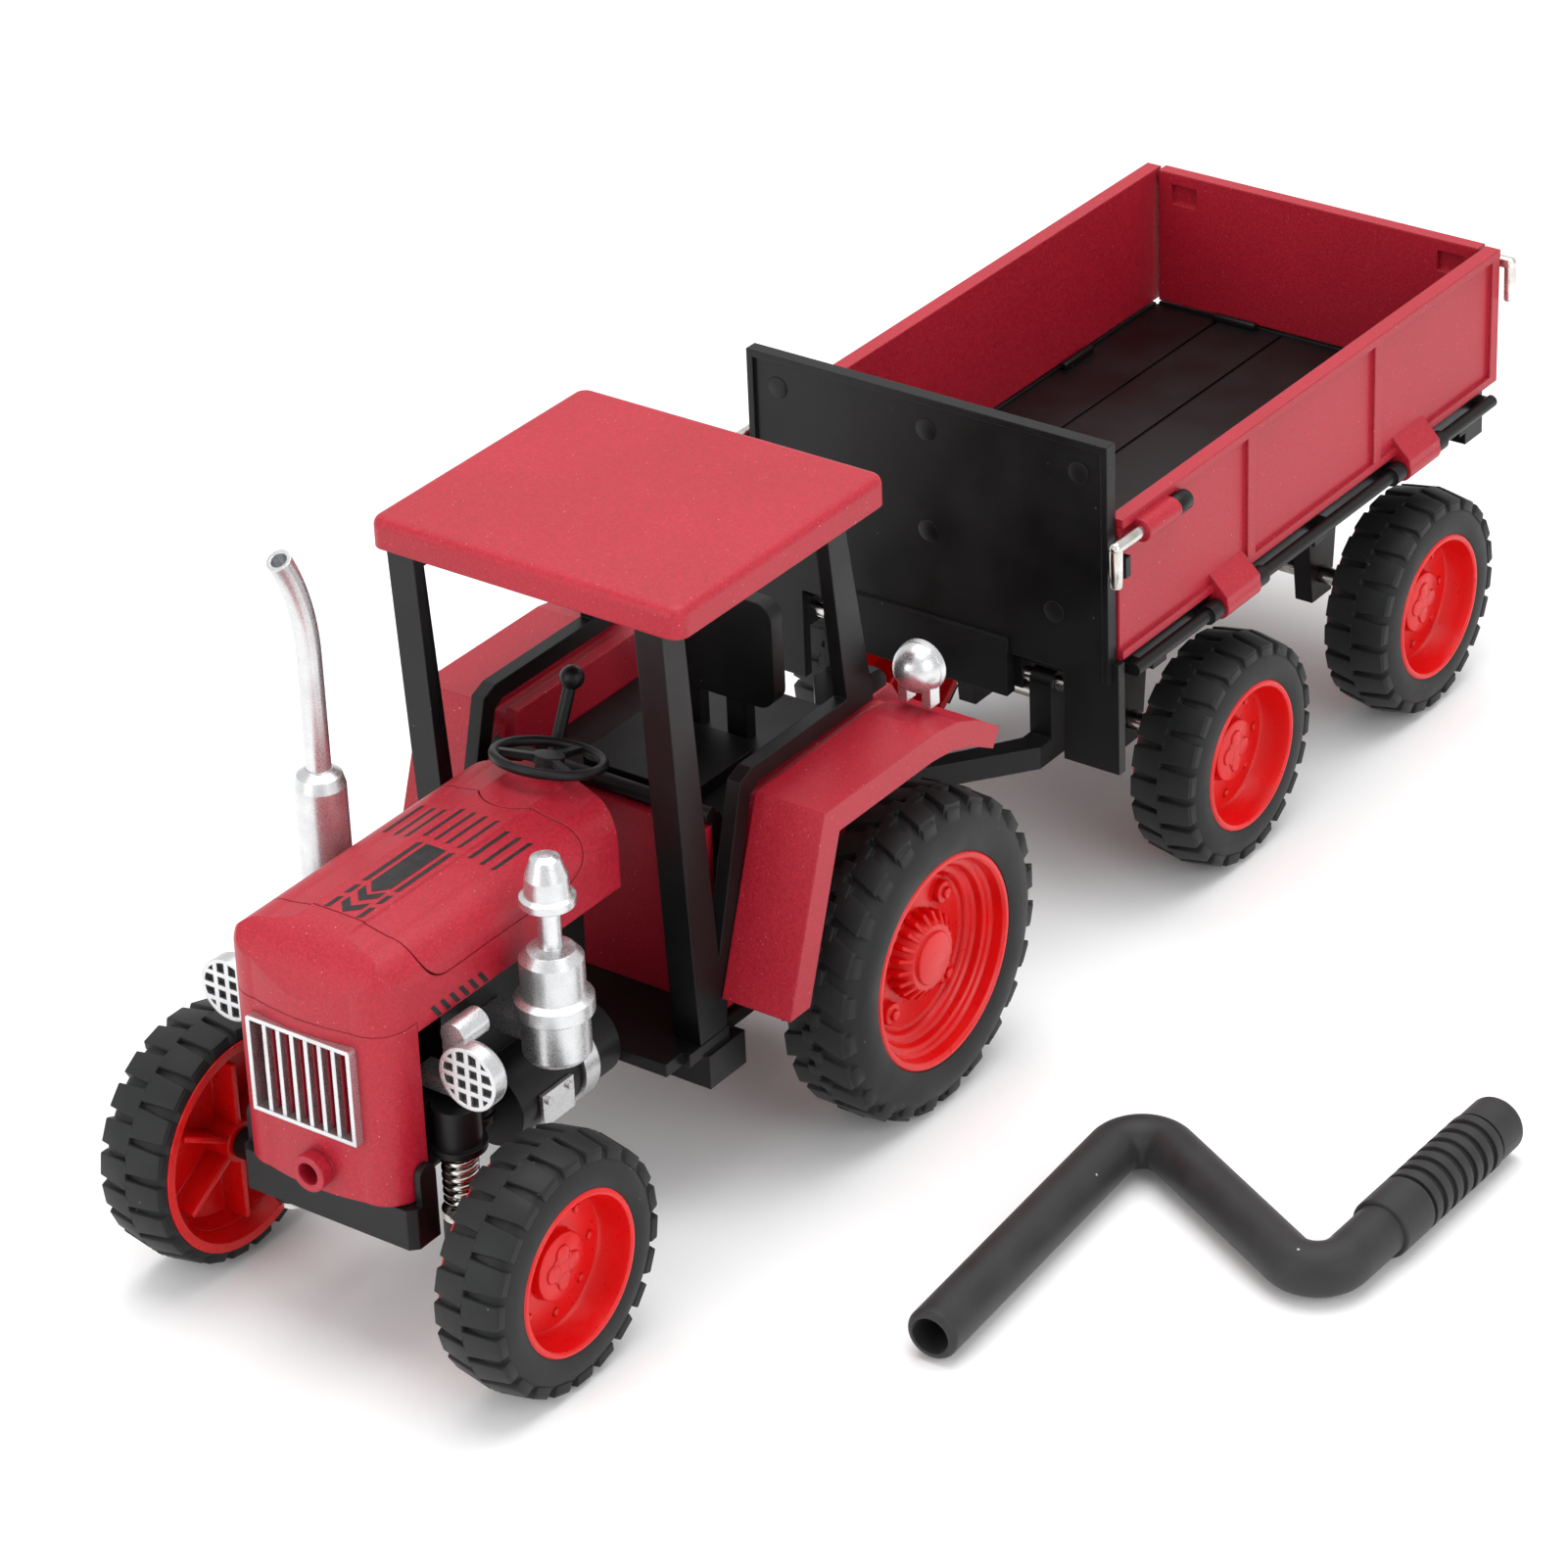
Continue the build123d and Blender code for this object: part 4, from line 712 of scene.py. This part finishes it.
films = []
for y in (-3.2, -1.1, 1.0, 3.2):
    films.append(long_stripe(60.0, 69.1, y, 0.55))
for y in (5.9, 8.0, 10.1):
    films.append(long_stripe(61.0, 70.0, y, 0.6))
    films.append(long_stripe(61.0, 70.0, -y, 0.6))
for y in (-2.5, 3.4):
    films.append(long_stripe(70.9, 83.6, y, 0.75))
    films.append(long_stripe(85.0, 87.6, y, 0.75))
    films.append(long_stripe(88.9, 92.1, y, 0.75))
films.append(stripe([(70.8, -1.4, STRIPE_Z), (83.4, -1.4, STRIPE_Z), (85.6, 0.45, STRIPE_Z),
                     (83.4, 2.3, STRIPE_Z), (70.8, 2.3, STRIPE_Z)], "bonnet_lid", True))
for x in (84.6, 88.2):
    films.append(stripe([(x, -1.4, STRIPE_Z), (x + 1.9, -1.4, STRIPE_Z),
                         (x + 3.9, 0.45, STRIPE_Z), (x + 2.0, 0.45, STRIPE_Z)],
                        "bonnet_lid", True))
    films.append(stripe([(x + 2.0, 0.45, STRIPE_Z), (x + 3.9, 0.45, STRIPE_Z),
                         (x + 1.9, 2.3, STRIPE_Z), (x, 2.3, STRIPE_Z)], "bonnet_lid", True))
fit(joined(*films), "bonnet_stripes", "bonnet", ink, "black_plastic")

# %% [markdown]
# ## Slanted bars on the bonnet's side
# Low on each side of the bonnet, behind the front corner, is a short row of slanted bars.

# %% Side bars
BAR_COUNT, FIRST_BAR_X, BAR_PITCH = 6, 91.6, 2.14
side_films = []
for sign in (1, -1):
    for k in range(BAR_COUNT):
        x = FIRST_BAR_X - BAR_PITCH * k
        side_films.append(stripe([(x, sign * 18, 58.5), (x - 0.95, sign * 18, 58.5),
                                  (x - 2.5, sign * 18, 56.3), (x - 1.55, sign * 18, 56.3)],
                                 "cowl", False))
fit(joined(*side_films), "side_bars", "tractor", ink, "black_plastic")

# %% [markdown]
# ## Headlamps
# The lamps are silver drums with a grid moulded across the front. Behind the grid lies a
# black disc with a rounded rim, so the openings look deep.

# %% Lamp backings
LAMP_X, LAMP_Y, LAMP_Z, LAMP_R = 93.2, 22.3, 49.8, 5.1
for side, sign in (("left", 1), ("right", -1)):
    disc = bar((LAMP_X - 0.8, sign * LAMP_Y, LAMP_Z), (LAMP_X - 0.5, sign * LAMP_Y, LAMP_Z),
               LAMP_R - 0.75, 40, 0.15)
    fit(from_axle(disc), "lamp_backing_" + side, "tractor", black_abs, "black_plastic")

# %% [markdown]
# ## Latches
# Each board is held by a bent chrome hook. A short rod comes out of the red barrel, turns
# down through a round elbow and ends in a leg. A black cap closes the far end of the barrel.

# %% Latches
LATCH_Z, LATCH_Y, LEG, HOOK_R, CAP_R = 73.3, 36.6, 7.0, 1.1, 1.75


def round_elbow(spot):
    """A smooth ball that joins rod and leg."""
    let_go()
    bpy.ops.mesh.primitive_ico_sphere_add(subdivisions=4, radius=HOOK_R * MM,
                                          location=Vector(spot) * MM)
    return bake_place(bpy.context.object)


def hook_pieces(start, corner, cap_start, cap_end, name, body, node_name):
    """The chrome hook and its black cap; the leg hangs down from the corner."""
    foot = (corner[0], corner[1], corner[2] - LEG)
    chrome = joined(bar(start, corner, HOOK_R, 24), round_elbow(corner),
                    bar(corner, foot, HOOK_R, 24, 0.45))
    cap = joined(bar(cap_start, cap_end, CAP_R, 28, 0.4))
    fit(from_axle(chrome), name + "_hook", body, nickel, "bright_steel", node_name)
    fit(from_axle(cap), name + "_cap", body, black_abs, "black_plastic", node_name)


for side, sign in (("left", 1), ("right", -1)):
    y = sign * LATCH_Y
    hook_pieces((-60.9, y, LATCH_Z), (-54.0, y, LATCH_Z), (-70.6, y, LATCH_Z),
                (-74.4, y, LATCH_Z), "front_latch_" + side, "latch_front_" + side,
                "latch_front_" + side)
    hook_pieces((-178.2, sign * 31.7, LATCH_Z), (-178.2, y, LATCH_Z),
                (-178.2, sign * 24.8, LATCH_Z), (-178.2, sign * 22.7, LATCH_Z),
                "rear_latch_" + side, "latch_rear_" + side, "latch_rear_" + side)

# %% [markdown]
# ## Trailer floor edges
# Black strips close the gap between floor and boards. Rounded lugs stand on the floor at
# each hinge, and the headboard shows the round marks of the mould's ejector pins.

# %% Trailer floor edges
HINGE_X, PIN_FRONT, PIN_BACK = (-89.0, -147.0), -55.3, -55.08
strips = []
for sign in (1, -1):
    strips.append(slab((116.4, 1.9, 3.0), (-115.7, sign * 33.35, 49.5), 0.2))
    for x in HINGE_X:
        strips.append(slab((9.0, 1.5, 1.7), (x, sign * 31.8, 51.0), 0.5, 3))
    strips.append(slab((1.3, 9.0, 1.7), (-173.7, sign * 16, 51.0), 0.45, 3))
strips.append(slab((1.7, 64.6, 2.6), (-175.1, 0, 49.6), 0.2))
fit(from_axle(joined(*strips)), "floor_edges", "trailer", black_abs, "black_plastic")

marks = []
for y, z in ((29, 84), (0, 84), (-29, 84), (24, 58), (-24, 58), (0, 66)):
    marks.append(bar((PIN_FRONT, y, z), (PIN_BACK, y, z), 1.9, 28, 0.05))
fit(from_axle(joined(*marks)), "ejector_marks", "trailer", black_abs, "black_plastic")

# %% [markdown]
# ## Camera, light and floor
# The object is seen from in front and to the left, from about thirty degrees up, with a
# long lens. Soft lights stand above, to the left and in front, as in a small studio.

# %% Camera
VIEW_TURN, VIEW_LIFT, ROLL = math.radians(36.952), math.radians(29.8), math.radians(-2.397)
DISTANCE, LENS, AIM = 0.89806, 131.07, (-12.8, 0.86, 40.0)
back = Vector((math.cos(VIEW_LIFT) * math.cos(VIEW_TURN),
               math.cos(VIEW_LIFT) * math.sin(VIEW_TURN), math.sin(VIEW_LIFT)))
right = Vector((-math.sin(VIEW_TURN), math.cos(VIEW_TURN), 0))
up = back.cross(right)
level_right = math.cos(ROLL) * right + math.sin(ROLL) * up
level_up = back.cross(level_right)
camera_data = bpy.data.cameras.new("studio_camera")
camera_data.lens = LENS
camera_data.sensor_width = 36
camera = bpy.data.objects.new("studio_camera", camera_data)
bpy.context.collection.objects.link(camera)
turned = Matrix((level_right, level_up, back)).transposed()
camera.matrix_world = Matrix.Translation(at(*AIM) + back * DISTANCE) @ turned.to_4x4()
bpy.context.scene.camera = camera
bpy.context.scene.view_settings.view_transform = "Standard"
print("camera stands at", [round(v, 3) for v in camera.matrix_world.translation])

# %% Floor and lights
FLOOR_SIZE, WORLD_STRENGTH = 6, 0.85
let_go()
bpy.ops.mesh.primitive_plane_add(size=FLOOR_SIZE, location=(0, 0, 0))
floor = bpy.context.object
floor.name = "studio_floor"
paper, tree, shader = new_finish("white_paper", Specular_IOR_Level=0.2)
fibres = node(tree, "TexNoise", {"Vector": node(tree, "TexCoord").outputs["Object"],
                                 "Scale": per_mm(40), "Detail": 3.0})
tree.links.new(two_tone(tree, fibres.outputs["Fac"], "F4F4F4", "FAFAFA"),
               shader.inputs["Base Color"])
tree.links.new(spread(tree, fibres.outputs["Fac"], 0.7, 0.8), shader.inputs["Roughness"])
floor.data.materials.append(paper)
floor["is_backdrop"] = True

world = bpy.context.scene.world or bpy.data.worlds.new("studio")
bpy.context.scene.world = world
world.use_nodes = True
world.node_tree.nodes["Background"].inputs["Color"].default_value = (1, 1, 1, 1)
world.node_tree.nodes["Background"].inputs["Strength"].default_value = WORLD_STRENGTH


def soft_light(name, place, aim, size, power):
    """A square soft light that looks at a point."""
    data = bpy.data.lights.new(name, "AREA")
    data.size = size
    data.energy = power
    lamp = bpy.data.objects.new(name, data)
    bpy.context.collection.objects.link(lamp)
    lamp.location = place
    lamp.rotation_euler = (Vector(place) - Vector(aim)).to_track_quat("Z", "Y").to_euler()


middle = at(-20, 0, 40)
soft_light("overhead", middle + Vector((-0.1, 0.0, 0.9)), middle, 0.9, 7)
soft_light("left_side", middle + Vector((0.25, 0.9, 0.45)), middle, 0.6, 2.6)
soft_light("front_fill", middle + Vector((1.0, -0.25, 0.35)), middle, 0.6, 3)

# %% Sizes
boxes = {"cad": [list(corner) for corner in CAD_BOX],
         "visual": [list(corner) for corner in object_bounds()]}
for corner, cad, seen in zip(("low", "high"), boxes["cad"], boxes["visual"]):
    print(corner, [round((b - a) / MM, 2) for a, b in zip(cad, seen)], "mm apart")
